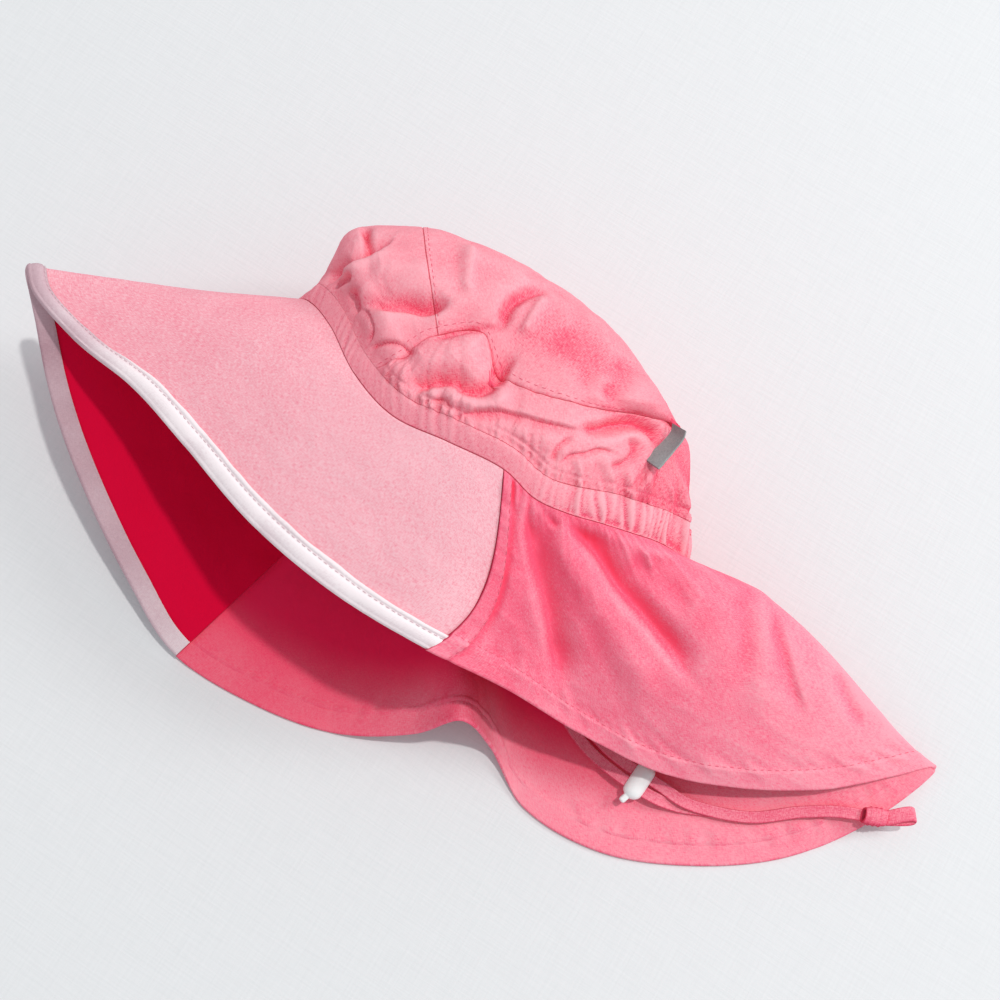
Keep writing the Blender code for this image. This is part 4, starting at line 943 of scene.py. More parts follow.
def hem_row(name, line, ways):
    """A row of stitches in the hem's thread, on the pink cloth."""
    return placed(stitch_row(name, line, ways, FINISHES["hem_thread"]), "coral_pink_cloth")


# Finishes

GROUPS = {}
FINISHES = {}
# Direction of the painted highlight: cloth that faces it is painted paler, as if lit from there.
LIT_FROM = (0.10, 0.35, 0.93)


def set_node(tree, node, **values):
    """Gives a node its settings, its plain inputs and its links. i0 is its first input."""
    for key, value in values.items():
        if hasattr(node, key):
            setattr(node, key, value)
            continue
        socket = node.inputs[int(key[1:])] if key[0] == "i" and key[1:].isdigit() else node.inputs[key]
        if isinstance(value, bpy.types.NodeSocket):
            tree.links.new(value, socket)
        else:
            socket.default_value = value
    return node


def add_node(tree, kind, **values):
    """A new node with its settings, its plain inputs and its links."""
    return set_node(tree, tree.nodes.new(kind), **values)


def weighed(tree, total, *terms):
    """A number plus each socket times its weight."""
    for socket, weight in terms:
        node = add_node(tree, "ShaderNodeMath", operation="MULTIPLY_ADD", i0=socket, i1=weight, i2=total)
        total = node.outputs[0]
    return total


def colour_ramp(tree, share, *colours):
    """Colours spaced evenly over a share from 0 to 1."""
    ramp = add_node(tree, "ShaderNodeValToRGB", Fac=share)
    stops = ramp.color_ramp.elements
    stops[0].color, stops[1].color = (*colours[0], 1.0), (*colours[-1], 1.0)
    for index, colour in enumerate(colours[1:-1], 1):
        stops.new(index / (len(colours) - 1)).color = (*colour, 1.0)
    return ramp.outputs[0]


def new_material(name, colour=(0.8, 0.8, 0.8)):
    """A material, its node tree and its shader."""
    made = bpy.data.materials.new(name)
    made.use_nodes = True
    made.diffuse_color = (*colour, 1.0)
    return made, made.node_tree, made.node_tree.nodes["Principled BSDF"]


def new_group(name, inputs, outputs):
    """An empty node group. An input without a value is a vector, the others are numbers."""
    group = bpy.data.node_groups.new(name, "ShaderNodeTree")
    for label, value in inputs.items():
        kind = "NodeSocketVector" if value is None else "NodeSocketFloat"
        made = group.interface.new_socket(label, in_out="INPUT", socket_type=kind)
        if value is not None:
            made.default_value = value
    for label in outputs:
        group.interface.new_socket(label, in_out="OUTPUT", socket_type="NodeSocketFloat")
    return group, group.nodes.new("NodeGroupInput").outputs, group.nodes.new("NodeGroupOutput").inputs


def thread_group():
    """Warp and weft threads with slubs, read from the cloth's own plan."""
    inputs = {"Vector": None, "Threads per metre": 1500.0, "Slub length": 40.0}
    group, given, out = new_group("woven_threads", inputs, ("Warp", "Weft", "Height"))
    split = add_node(group, "ShaderNodeSeparateXYZ", Vector=given["Vector"]).outputs
    tones = []
    for label, along, across, seed in (("Warp", *split[:2], 3.0), ("Weft", split[1], split[0], 11.0)):
        fine = weighed(group, 0.0, (across, given["Threads per metre"]))
        slow = weighed(group, 0.0, (along, given["Slub length"]))
        place = add_node(group, "ShaderNodeCombineXYZ", X=fine, Y=slow, Z=seed).outputs[0]
        noise = add_node(group, "ShaderNodeTexNoise", Vector=place, Scale=1.0, Detail=2.0, Roughness=0.6)
        group.links.new(noise.outputs[0], out[label])
        tones.append((noise.outputs[0], 0.5))
    group.links.new(weighed(group, 0.0, *tones), out["Height"])
    return group


def wear_group():
    """Slow changes of tone over the cloth, as washing and handling leave them."""
    group, given, out = new_group("washed_tone", {"Scale": 60.0, "Seed": 0.0}, ("Tone", "Crumple"))
    place = add_node(group, "ShaderNodeTexCoord").outputs["Object"]
    seed = add_node(group, "ShaderNodeCombineXYZ", X=given["Seed"], Y=0.0, Z=0.0).outputs[0]
    moved = add_node(group, "ShaderNodeVectorMath", operation="ADD", i0=place, i1=seed).outputs[0]
    fine = weighed(group, 0.0, (given["Scale"], 3.5))
    for label, scale, detail, rough, twist in (
        ("Tone", given["Scale"], 3.0, 0.55, 0.0),
        ("Crumple", fine, 4.0, 0.6, 0.6),
    ):
        noise = add_node(
            group, "ShaderNodeTexNoise", Vector=moved, Scale=scale, Detail=detail, Roughness=rough,
            Distortion=twist,
        )
        group.links.new(noise.outputs[0], out[label])
    return group


def cloth_finish(
    name, light, middle, deep, threads=3000.0, contrast=0.42, crumple=0.12, sheen=0.06, seed=0.0, tone=0.3,
    lit=0.25, folds=0.3, seam=(0.50, 0.012, 0.060), inner_shade=None,
):
    """Woven cloth in washed yarn colours with weave relief and fine creases, and with painted light: a painted
    highlight where it faces LIT_FROM, painted light and shade from the hollow mask, and painted shade on its inner
    side and along its seams.
    """
    made, tree, shader = new_material(name, middle)
    plan = add_node(tree, "ShaderNodeUVMap", uv_map="cloth_plan").outputs[0]
    woven = add_node(
        tree, "ShaderNodeGroup", node_tree=GROUPS["threads"],
        **{"Vector": plan, "Threads per metre": threads, "Slub length": 620.0},
    ).outputs
    washed = add_node(tree, "ShaderNodeGroup", node_tree=GROUPS["wear"], Seed=seed).outputs
    # Painted highlight: the more a face turns towards LIT_FROM, the paler its colour, by the weight lit.
    normal = add_node(tree, "ShaderNodeNewGeometry").outputs["Normal"]
    facing = add_node(tree, "ShaderNodeVectorMath", operation="DOT_PRODUCT", i0=normal, i1=LIT_FROM)
    facing = add_node(
        tree, "ShaderNodeMapRange", Value=facing.outputs["Value"], i1=0.55, i2=0.99, i3=-0.5, i4=0.5
    )
    # Painted shade: deeper colour in the hollows, on the inner side and along the seam lines.
    hollow, inner, line = (
        add_node(tree, "ShaderNodeAttribute", attribute_name=mask).outputs["Fac"]
        for mask in ("hollow", "painted_inner_shade", "seam_shade_line")
    )
    yarn = 3.0 * contrast
    share = weighed(
        tree, 0.5 - yarn - tone, (woven["Warp"], yarn), (woven["Weft"], yarn), (washed["Tone"], 2.0 * tone),
        (facing.outputs[0], lit), (hollow, -folds),
    )
    colour = colour_ramp(tree, share, deep, middle, light)
    # Painted shade: the inner side and the seam lines are mixed towards dark colours.
    for mask, weight, tint in ((inner, 0.96, inner_shade or deep), (line, 0.85, seam)):
        mask = weighed(tree, 0.0, (mask, weight))
        mix = add_node(tree, "ShaderNodeMix", data_type="RGBA", i0=mask, i6=colour, i7=(*tint, 1.0))
        colour = mix.outputs[2]
    creased = add_node(
        tree, "ShaderNodeBump", Strength=crumple, Distance=0.0012, Height=washed["Crumple"]
    ).outputs[0]
    relief = add_node(
        tree, "ShaderNodeBump", Strength=0.3, Distance=0.0002, Height=woven["Height"], Normal=creased
    ).outputs[0]
    rough = weighed(tree, 0.85, (woven["Height"], 0.2))
    set_node(tree, shader, **{
        "Base Color": colour, "Roughness": rough, "Normal": relief, "Sheen Weight": sheen,
        "Sheen Roughness": 0.4, "Specular IOR Level": 0.12,
    })
    return made


def plain_finish(name, colour, roughness, subsurface=0.0):
    """A moulded or spun finish with a faint grain."""
    made, tree, shader = new_material(name, colour)
    place = add_node(tree, "ShaderNodeTexCoord").outputs["Object"]
    noise = add_node(tree, "ShaderNodeTexNoise", Vector=place, Scale=400.0, Detail=3.0).outputs[0]
    bump = add_node(tree, "ShaderNodeBump", Strength=0.02, Distance=0.0002, Height=noise)
    set_node(tree, shader, **{
        "Base Color": colour_ramp(tree, noise, [value * 0.93 for value in colour], colour),
        "Roughness": weighed(tree, roughness - 0.07, (noise, 0.15)),
        "Normal": bump.outputs[0],
        "Subsurface Weight": subsurface,
        "Subsurface Radius": (0.002, 0.002, 0.002),
    })
    return made


def make_finishes(looks):
    """Every finish of the hat, in the chosen colours."""
    GROUPS["threads"], GROUPS["wear"] = thread_group(), wear_group()
    crown, brim, lining, tape = (
        tuple(colour)
        for colour in (looks.crown_colour, looks.brim_colour, looks.lining_shade_colour, looks.binding_colour)
    )
    pink = ((0.99, 0.43, 0.49), crown, (0.87, 0.085, 0.165))
    FINISHES["cloth"] = cloth_finish("coral_pink_cloth", *pink, seed=1.0, tone=0.12)
    # The flap is the crown's cloth in painted shade: its colours are deeper copies of the crown's, and its inner side
    # is painted in deep shade.
    FINISHES["flap"] = cloth_finish(
        "coral_cloth_painted_shade", (1.0, 0.38, 0.46), (1.0, 0.225, 0.325), (0.98, 0.10, 0.195), seed=2.0, folds=0.4,
        inner_shade=(0.95, 0.008, 0.085),
    )
    FINISHES["band"] = cloth_finish(
        "band_pink_cloth", (0.98, 0.43, 0.49), (0.95, 0.31, 0.38), (0.84, 0.09, 0.17), seed=4.0,
        folds=0.45, tone=0.15,
    )
    FINISHES["brim"] = cloth_finish(
        "brim_pale_pink_cloth", (1.0, 0.56, 0.62), brim, (0.93, 0.27, 0.36), contrast=0.7, crumple=0.1,
        seed=7.0, tone=0.2, lit=0.2,
    )
    # The lining's deep raspberry is painted shade under the brim; the cloth itself is the hat's pink.
    FINISHES["lining"] = cloth_finish(
        "raspberry_lining", (0.98, 0.004, 0.090), lining, (0.76, 0.001, 0.040), contrast=0.25, crumple=0.15,
        seed=9.0, sheen=0.0, lit=0.1,
    )
    # The binding's seam colour and its hollow mask paint shade on the tape.
    FINISHES["binding"] = cloth_finish(
        "blush_binding", tape, (0.72, 0.52, 0.57), (0.46, 0.25, 0.30), contrast=0.12, crumple=0.12, seed=12.0,
        tone=0.15, folds=0.9, lit=0.2, seam=(0.40, 0.16, 0.20),
    )
    # The strap carries a strong painted highlight where it faces LIT_FROM.
    FINISHES["strap"] = cloth_finish(
        "strap_pink_cloth", (0.96, 0.30, 0.38), (0.88, 0.13, 0.22), (0.74, 0.05, 0.11), seed=15.0, lit=0.6
    )
    FINISHES["toggle"] = plain_finish("white_plastic", (1.0, 1.0, 0.995), 0.3, 0.2)
    FINISHES["label"] = cloth_finish(
        "grey_label_weave", (0.42, 0.44, 0.44), (0.30, 0.315, 0.315), (0.20, 0.21, 0.21), threads=2500.0,
        contrast=0.3, crumple=0.05, sheen=0.05,
    )
    FINISHES["hem_thread"] = plain_finish("hem_thread", (0.84, 0.13, 0.21), 0.8)
    FINISHES["pale_thread"] = plain_finish("pale_thread", (0.78, 0.58, 0.62), 0.8)


# Pieces


def brim_grid(spokes, rings):
    """Outer face of the brim from the band's seam to its bound edge, and its wall directions."""
    places = spoke_places(RING.far_seam - RING.period, RING.near_seam, spokes)
    shares = np.linspace(0.0, 1.0, rings + 1)
    grid, ways = spoke_grid(places, shares)
    ways = eased(ways, spokes // 6)
    grid = above_floor(grid, 0.0013)
    spread = cloth_plan(grid)
    wave = layers(spread, (0.00035, 0.022, 31), (0.00012, 0.006, 32))
    pucker = 0.00022 * soft_noise(spread * np.array([1.0, 0.25]), 0.0035, 33)
    pucker = pucker * np.exp(-(1.0 - shares)[:, None] * 18.0)
    fade = smooth_step(shares / 0.08)[:, None]
    return raised(grid, ways, (wave + pucker) * fade), ways, places, shares


def make_brim():
    """Brim cover, lining and the folded tape round their edge."""
    grid, ways, places, shares = brim_grid(spokes=250, rings=70)
    inset = grid.copy()
    inset[-1] += unit(grid[-2] - grid[-1]) * 0.001
    # Painted light and shade: the brim is painted paler towards its upper side seam, and deeper in its hollows.
    painted_light = smooth_step((places - places[0]) / (places[-1] - places[0]) * 2.2 - 1.0)
    hollow = hollows(inset, ways) * 0.3 + 0.35 - 1.1 * painted_light
    cover, sides, masks = bordered(inset, ways, hollow, (True, False, True, True))
    made = cloth_wall("brim_cover_cloth", cover, sides, BRIM_PLY, FINISHES["brim"], masks, round_end=False)
    placed(made, "brim_pale_pink_cloth", "brim_cover")
    cut_sheet(made, grid, "stretched", ["band"])

    crease = layers(cloth_plan(inset), (0.0006, 0.018, 41), (0.0003, 0.007, 42))
    free = smooth_step(shares / 0.1) * smooth_step((0.90 - shares) / 0.12)
    below = raised(inset, ways, -BRIM_PLY - 0.0003 - (crease + 0.0005) * free[:, None])
    below, side = below[::2, ::2], ways[::2, ::2]
    # Painted shade in the lining's creases, as they face downwards.
    masks = {"hollow": -hollows(below, side, 10)}
    made = cloth_wall("brim_lining_cloth", below, side, BRIM_PLY, FINISHES["lining"], masks, round_end=False)
    placed(made, "raspberry_lining", "brim_lining")
    cut_sheet(made, below, "stretched", ["brim_cover_cloth"])
    make_binding(grid, ways, places)


def make_binding(grid, ways, places):
    """The folded tape, full at its fold and drawn in along its stitching."""
    rim, normal = grid[-1], ways[-1]
    slope = unit(grid[-4] - rim)
    along = lengths_along(rim)
    line = paired(along, 0.0)
    wider = 0.0016 * smooth_step((places - 0.03) / 0.05)
    top_width = TAPE_WIDTH + wider + 0.0004 * soft_noise(line, 0.011, 51)
    puff = 0.00030 * np.abs(soft_noise(line, 0.0036, 52)) - 0.0001
    section = []

    def add(reach, height):
        """A line of the tape, so far in from its fold and so far above the brim's face."""
        reach, height = (np.broadcast_to(value, along.shape)[:, None] for value in (reach, height))
        section.append(rim + slope * reach + normal * height)

    for share in np.linspace(1.0, 0.0, 17):
        reach = top_width * share
        full = 0.0006 * (1.0 - np.clip(reach / (TAPE_STITCHES / 2) - 1.0, -1.0, 1.0) ** 2)
        dip = 0.0005 * bell(reach - TAPE_STITCHES, 0.0006)
        lift = TAPE_LIFT + full + puff * (1 - share * 0.4) - dip
        add(reach + TAPE_INSET, lift - 0.0003 * smooth_step((share - 0.9) / 0.1))
    for turn in np.radians(np.linspace(20, 160, 8)):
        half = TAPE_CORE / 2
        add(TAPE_INSET - 0.0018 * math.sin(turn), (half + 0.0011) * math.cos(turn) - half)
    for share in np.linspace(0.0, 1.0, 10):
        lift = TAPE_LIFT - 0.0003 * smooth_step((share - 0.85) / 0.15)
        add(TAPE_WIDTH * share + TAPE_INSET, -TAPE_CORE - lift)
    add(TAPE_WIDTH + 0.0010, -TAPE_CORE - 0.0001)
    add(0.0016, -TAPE_CORE - 0.0001)
    add(0.0016, 0.0001)
    add(top_width + 0.0008, 0.0001)
    points = above_floor(np.array(section))
    # Painted shade: the tape is painted darker from the front round the lower side, less so at its lower end.
    lower_end = 1.0 - smooth_step((places - places[0]) / 0.05)
    painted_tape_shade = (1.0 - smooth_step((places - 0.005) / 0.08) - 0.6 * lower_end) * 0.72 - 0.52
    painted_tape_shade = np.broadcast_to(painted_tape_shade + 0.18 * soft_noise(line, 0.020, 53), points.shape[:2])
    made = section_piece("brim_binding_tape", points, along, FINISHES["binding"], {"hollow": painted_tape_shade})
    placed(made, "blush_binding", "brim_binding")
    line = rim + slope * (TAPE_STITCHES + TAPE_INSET) + normal * 0.00085
    row = stitch_row("brim_binding_stitches", line, normal, FINISHES["pale_thread"], TAPE_PITCH, sink=0.0001)
    placed(row, "blush_binding")
    cut_sheet(made, points[:36], "folded", ["brim_cover_cloth", "brim_lining_cloth"], [row])


def make_flap():
    """The neck flap with its folds, its turned hem and its stitching."""
    spokes, rings, hem_rows = 380, 116, 18
    places = spoke_places(RING.near_seam, RING.far_seam, spokes)
    depth = np.linalg.norm(RING.spoke(places, 1.0) - RING.spoke(places, 0.0), axis=1)
    hem = 1.0 - HEM_DEPTH / depth
    inner_rows = rings - hem_rows
    shares = [hem * step / inner_rows for step in range(inner_rows)]
    shares += [hem + (1.0 - hem) * step / hem_rows for step in range(hem_rows + 1)]
    shares = np.array(shares)
    flat, ways = spoke_grid(places, shares)
    seam_fade = smooth_step(shares / 0.10)
    seam_way = lengths_along(RING.spoke(places, 0.5))
    near = np.broadcast_to(seam_way, shares.shape)
    past = smooth_step((near - SIDE_STRIP) / 0.0030)
    side_fade = past * smooth_step((places[-1] - places) / 0.02)
    upward = smooth_step((ways[..., 2] - 0.05) / 0.4)
    grid = raised(flat, ways, fold_height(flat, FLAP_FOLDS, upward * seam_fade * side_fade))
    spread = cloth_plan(grid)
    along = spread[..., 0]
    reach = (1.0 - shares) * depth

    # Soft waves and creases
    warped = spread + 0.005 * soft_noise(spread, 0.02, 63)[..., None]
    waves = layers(spread, (0.0012, 0.040, 61), (0.0003, 0.016, 62))
    waves = waves + layers(warped, (0.0003, 0.024, 64), (0.00012, 0.009, 67), form=creases)
    relief = waves * seam_fade * side_fade * (0.35 + 0.65 * upward)

    # The turned hem with its puckers
    pucker = pleats(paired(along + 0.25 * reach, reach * 0.25), 0.0050, 65)
    relief = relief + 0.00075 * pucker * bell(reach - HEM_DEPTH, 0.0050)
    relief = relief - 0.00045 * bell(reach - HEM_STITCHES, 0.0006)
    relief = relief + 0.00055 * smooth_step((HEM_EDGE - reach) / 0.0006)

    # The lapped strip along the side seam
    lapped = 0.0009 * (1.0 - smooth_step((near - 0.0060) / 0.0006))
    lapped = lapped - 0.0007 * bell(near - 0.0068, 0.0016) * smooth_step((near - SIDE_STRIP) / 0.0005)
    waved = 0.0004 * soft_noise(paired(shares * 0.11, near * 0.3), 0.006, 68) * (near < 0.006)
    relief = relief + (lapped + waved) * smooth_step(shares / 0.03)

    # Gathers below the band
    gather = 0.0013 * pleats(paired(along, shares * 0.02), 0.0065, 66)
    gather = gather * np.exp(-shares * depth / 0.014) * smooth_step(shares / 0.02)
    grid = above_floor(raised(grid, ways, relief + gather * (0.4 + 0.6 * past)))

    normals = grid_normals(grid, ways)
    normals[:, 0], normals[:, -1] = ways[:, 0], ways[:, -1]
    sides = eased(unit(ways * (1 - seam_fade[..., None]) + normals * seam_fade[..., None]), 2)
    # Painted light and shade: the flap is painted paler towards its hem and deeper in its folds.
    painted_light = smooth_step((shares * depth + 0.1 * near - 0.020) / 0.095) * 1.15 - 0.62
    hollow = hollows(grid, ways, 30, 0.0009) * 0.7 - painted_light
    outer, sides_out, masks = bordered(grid, sides, hollow, (True, False, True, True))
    depths = np.pad(shares, ((1, 0), (1, 1)), mode="edge")
    # Painted shade on the flap's inner side, deepest near the band and by the lower side seam, fading towards the hem.
    free = 0.45 + 0.47 * smooth_step((RING.far_seam - 0.060 - places) / 0.090)
    masks["shaded"] = 1.0 - np.pad(free, 1, mode="edge") * smooth_step((depths - 0.45) / 0.45)
    from_edge = np.concatenate([[1.0], reach.mean(axis=1)])
    thick = np.where(from_edge < HEM_EDGE, HEM_WALL, SOFT_PLY)[:, None, None]
    made = cloth_wall("neck_flap_cloth", outer, sides_out, thick, FINISHES["flap"], masks)
    placed(made, "coral_pink_cloth", "neck_flap")

    row = int(np.argmin(np.abs(reach.mean(axis=1) - HEM_STITCHES)))
    column = int(np.argmin(np.abs(seam_way - SIDE_STITCHES)))
    rows = [
        hem_row("flap_hem_stitches", grid[row], sides[row]),
        hem_row("flap_side_stitches", grid[3:, column], sides[3:, column]),
        hem_row("flap_hem_inner_stitches", grid[row] - sides[row] * SOFT_PLY, -sides[row]),
    ]
    cut_sheet(made, flat, "draped", ["band"], rows)
    first_down = int(np.argmax(sides_out[-3, :, 2] < 0)) - 1
    return (outer - sides_out * thick)[::2, first_down::2]


def make_band():
    """The casing round the head opening, gathered into ribs where its elastic runs."""
    steps, across = 900, 16
    share = np.arange(steps) / steps
    places = RING.place(share)
    low, high = RING.seam(places), RING.band_top(places)
    away, tall = RING.outward(places), RING.tall(places)
    rows = []
    for step in range(across + 1):
        s = step / across
        puff = (0.0003 + 0.0007 * elastic(share)) * 4 * s * (1 - s)
        lift = puff + gathers(share, s * tall, tall)
        rows.append(raised(low + (high - low) * s, away, lift))
    grid = np.array(rows)
    ways = np.broadcast_to(away, grid.shape)
    # Painted shade in the valleys of the gathers.
    hollow = hollows(grid, ways, 10, 0.0004)
    grid, ways, masks = bordered(grid, ways, hollow, (True, False, False, False))
    made = cloth_wall(
        "band_cloth", grid, ways, BAND_WALL, FINISHES["band"], masks, closed=True, round_end=False
    )
    placed(made, "band_pink_cloth", "band")
    cut_sheet(made, np.array([low + (high - low) * step / 4 for step in range(5)]), "gathered", ["neck_flap"])


class Crown:
    """Grid of the whole crown: sections across it, hoops from the upper band to the lower."""

    def __init__(self, sections, panel, strip, far):
        even = np.linspace(0.0, 1.0, sections + 1)
        self.along = 0.55 * even + 0.45 * (1.0 - np.cos(math.pi * even)) / 2.0
        self.cross = int(np.abs(self.along - CROSS_SEAM).argmin())
        self.along[self.cross] = CROSS_SEAM
        self.panel, self.strip, self.far_steps = panel, strip, far
        near = NEAR_FRONT_CORNER + (NEAR_BACK_CORNER - NEAR_FRONT_CORNER) * self.along
        lower = FAR_FRONT_CORNER + (FAR_BACK_CORNER - FAR_FRONT_CORNER) * self.along
        self.near, self.far = RING.place(near), RING.place(lower)
        self.points = self.base()

    def guides(self):
        """The upper panel seam, the outermost line and the lower panel seam."""
        ends = [RING.band_top(RING.place(np.array(shares))).ravel() for _, *shares in CROWN_ENDS]
        sizes = np.array([OPENING_LENGTH, CROWN_DEPTH, LYING_HEIGHT] * 3)
        rows = [np.array(row[2:]) * sizes for row in CROWN_ROWS]
        knots = [0.0] + [row.along for row in CROWN_ROWS] + [1.0]
        values = spline(knots, [ends[0]] + rows + [ends[1]], self.along)
        return values[:, :3], values[:, 3:6], values[:, 6:9]

    def end_shares(self, near, top, far):
        """Shares of the ring below the strip's end, from corner to corner."""
        half = self.strip // 2
        upper, lower = np.linspace(near, top, half + 1), np.linspace(top, far, self.strip - half + 1)
        return np.concatenate([upper, lower[1:]])

    def panel_grid(self, start, last, steps, bulge, narrow):
        """A side panel between two lines, bulged in its middle where it is wide enough."""
        share = np.linspace(0, 1, steps + 1)[None, :, None]
        grid = start[:, None] * (1 - share) + last[:, None] * share
        width = np.linalg.norm(last - start, axis=1)[:, None]
        grid[..., 2] += bulge * LYING_HEIGHT * 4 * (share * (1 - share))[..., 0] * np.minimum(
            width / (narrow * CROWN_DEPTH), 1.0)
        return grid

    def base(self):
        """The crown without folds, from the band's upper side over the top to its lower side."""
        near, top, far = self.guides()
        power = 2.0 / CROWN_FULLNESS
        half = self.strip // 2
        hoops = []
        for step in range(self.strip + 1):
            upper = step <= half
            turn = (step / half if upper else (self.strip - step) / (self.strip - half)) * math.pi / 2
            from_line = near if upper else far
            corner = from_line.copy()
            corner[:, 2] = top[:, 2]
            rise = np.cos(turn) ** power if turn < math.pi / 2 - 1e-9 else 0.0
            reach = np.sin(turn) ** power if turn > 1e-9 else 0.0
            hoops.append(corner + (from_line - corner) * rise + (top - corner) * reach)
        strip = np.array(hoops).transpose(1, 0, 2)
        for index, *corners in CROWN_ENDS:
            shift = RING.band_top(RING.place(self.end_shares(*corners))) - strip[index]
            distance = self.along if index == 0 else 1.0 - self.along
            strip = strip + shift[None] * (1.0 - smooth_step(distance / 0.16))[:, None, None]
        low, high = RING.band_top(self.near), RING.band_top(self.far)
        near_panel = self.panel_grid(low, strip[:, 0], self.panel, PANEL_PUFF, 0.2)
        far_panel = self.panel_grid(strip[:, -1], high, self.far_steps, -LOWER_SAG, 0.5)
        return np.concatenate([near_panel[:, :-1], strip, far_panel[:, 1:]], axis=1)

    def normals_of(self, points, passes):
        """Evened normals of the crown, with the band's own directions along the band."""
        normals = grid_normals(points, points - points.mean(axis=(0, 1)))
        borders = {0: RING.outward(self.near), -1: RING.outward(self.far)}
        ends = {}
        for index, near, top, far in CROWN_ENDS:
            line = np.pad(self.end_shares(near, top, far), (self.panel, self.far_steps), mode="edge")
            ends[index] = RING.outward(RING.place(line))
        for _ in range(passes):
            for column, way in borders.items():
                normals[:, column] = way
            for row, way in ends.items():
                normals[row] = way
            normals[1:-1] = unit(normals[1:-1] * 2 + normals[:-2] + normals[2:])
            normals[:, 1:-1] = unit(normals[:, 1:-1] * 2 + normals[:, :-2] + normals[:, 2:])
        return normals

    def shaped(self):
        """The crown's outer face with folds, gathers and crumples, and its wall directions."""
        points = self.points
        ways = self.normals_of(points, 6)
        distance, share = RING.near(points)
        upward = smooth_step((ways[..., 2] - 0.05) / 0.35)
        clear = smooth_step(distance / 0.006)
        points = raised(points, ways, fold_height(points, CROWN_FOLDS, upward * clear))
        tall = RING.tall(RING.place(share))
        gather = gathers(share, tall + distance, tall)
        body = 0.3 + 0.7 * upward
        warp = points + 0.012 * np.stack([soft_noise(points, 0.03, seed) for seed in (91, 92, 93)], axis=-1)
        soft = layers(warp, (0.0012, 0.028, 83), (0.0005, 0.012, 84))
        fine = layers(warp, (0.0004, 0.017, 85), (0.00018, 0.007, 86), form=creases)
        away = smooth_step(distance / 0.010)
        points = above_floor(raised(points, ways, gather + (soft + fine) * away * body))
        return points, self.normals_of(points, 3)


def make_crown():
    """Two side panels and the top strip in two pieces, sewn together."""
    crown = Crown(sections=310, panel=60, strip=186, far=28)
    points, ways = crown.shaped()
    x, y = points[..., 0] / MM, points[..., 1] / MM
    # Painted shade: the crown is deeper in its valleys, over a patch of the top and towards the back.
    slack = bell(x - 16, 24) * bell(y - 44, 12)
    behind = smooth_step((x - 45) / 20)
    hollow = hollows(points, ways, 60, 0.0018) * 1.3 + 1.7 * slack + 1.2 * behind - 0.25
    first, last = crown.panel, crown.panel + crown.strip
    for seam in (first, last):
        pucker = 0.0005 * soft_noise(paired(lengths_along(points[:, seam]), 0.0), 0.0045, 87)
        for offset in range(-5, 6):
            column = seam + offset
            points[:, column] = raised(points[:, column], ways[:, column], pucker * bell(offset, 2.5))
    inner, strip = slice(2, -2), slice(first, last + 1)
    parts = (
        ("crown_near_side", inner, slice(0, first + 1), (0, 0, 1, 1)),
        ("crown_far_side", inner, slice(last, None), (0, 0, 1, 1)),
        ("crown_top_front", slice(0, crown.cross + 1), strip, (1, 1, 1, 1)),
        ("crown_top_back", slice(crown.cross, None), strip, (1, 1, 1, 1)),
    )
    made = {}
    for node, down, over, sewn in parts:
        outer, sides, masks = bordered(
            points[down, over], ways[down, over], hollow[down, over], sewn, CROWN_DIP
        )
        # The painted shade along the crown's seams is faint.
        masks["seam_shade_line"] = masks["seam_shade_line"] * 0.25
        made[node] = cloth_wall(
            node + "_cloth", outer, sides, SOFT_PLY, FINISHES["cloth"], masks, round_end=False
        )
        placed(made[node], "coral_pink_cloth", node)
    beside, past = first + 2, crown.cross + 2
    rows = {}
    for node, name, down, over in (
        ("crown_top_front", "crown_seam_stitches", slice(6, -8), beside),
        ("crown_top_back", "crown_cross_stitches", past, slice(beside, last)),
    ):
        rows[node] = [hem_row(name, points[down, over], ways[down, over])]
    for node, down, over, _ in parts:
        cut_sheet(made[node], crown.points[down, over], "gathered", ["band"], rows.get(node, []))
    make_label(crown, points, ways)


def make_label(crown, points, ways):
    """The small folded label in the upper seam, with its loop side out and nothing on it."""
    seam = points[:, crown.panel]
    lengths = lengths_along(seam)
    centre = np.interp(LABEL_ALONG, crown.along, lengths)
    shares = np.linspace(0, 1, 61)
    at = centre + LABEL_WIDTH * (shares - 0.5)
    base = sampled(seam, lengths, at)
    away = sampled(ways[:, crown.panel], lengths, at)
    base = base * 0.35 + (base[0] + (base[-1] - base[0]) * shares[:, None]) * 0.65
    out = unit(unit(away.mean(axis=0)) + np.array([0.45, -0.15, 0.0]))
    thick = unit(np.cross(unit(base[-1] - base[0]), out))
    bulge = 0.0009 + 0.0006 * np.sin(shares * 5.0)
    wall = [
        (LABEL_REACH * step, LABEL_WALL + 0.00018 * math.sin(step * 3.14)) for step in np.linspace(0, 1, 12)
    ]
    fold = [
        (LABEL_REACH + 0.0005 * math.sin(turn), LABEL_WALL * math.cos(turn))
        for turn in np.radians(np.linspace(30, 150, 5))
    ]
    lines = []
    for reach, side in wall + fold + [(reach, -side) for reach, side in wall[::-1]]:
        bend = (reach / LABEL_REACH) ** 2 * bulge
        lines.append(base + away * 0.0004 + out * reach + thick * (side + bend[:, None]))
    grid = np.array(lines)
    middle = grid.mean(axis=(0, 1))
    spin = np.array(Matrix.Rotation(LABEL_TURN, 3, "Z")).T
    grid = (grid - middle) @ spin + middle + LABEL_SHIFT
    made = section_piece("label_tab_cloth", grid, at, FINISHES["label"])
    placed(made, "grey_label_weave", "label_tab")
    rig.sheet(made, flat=(LABEL_WIDTH, 0.010), held="folded", rests_on=["crown_top_back"], area=0.0002)


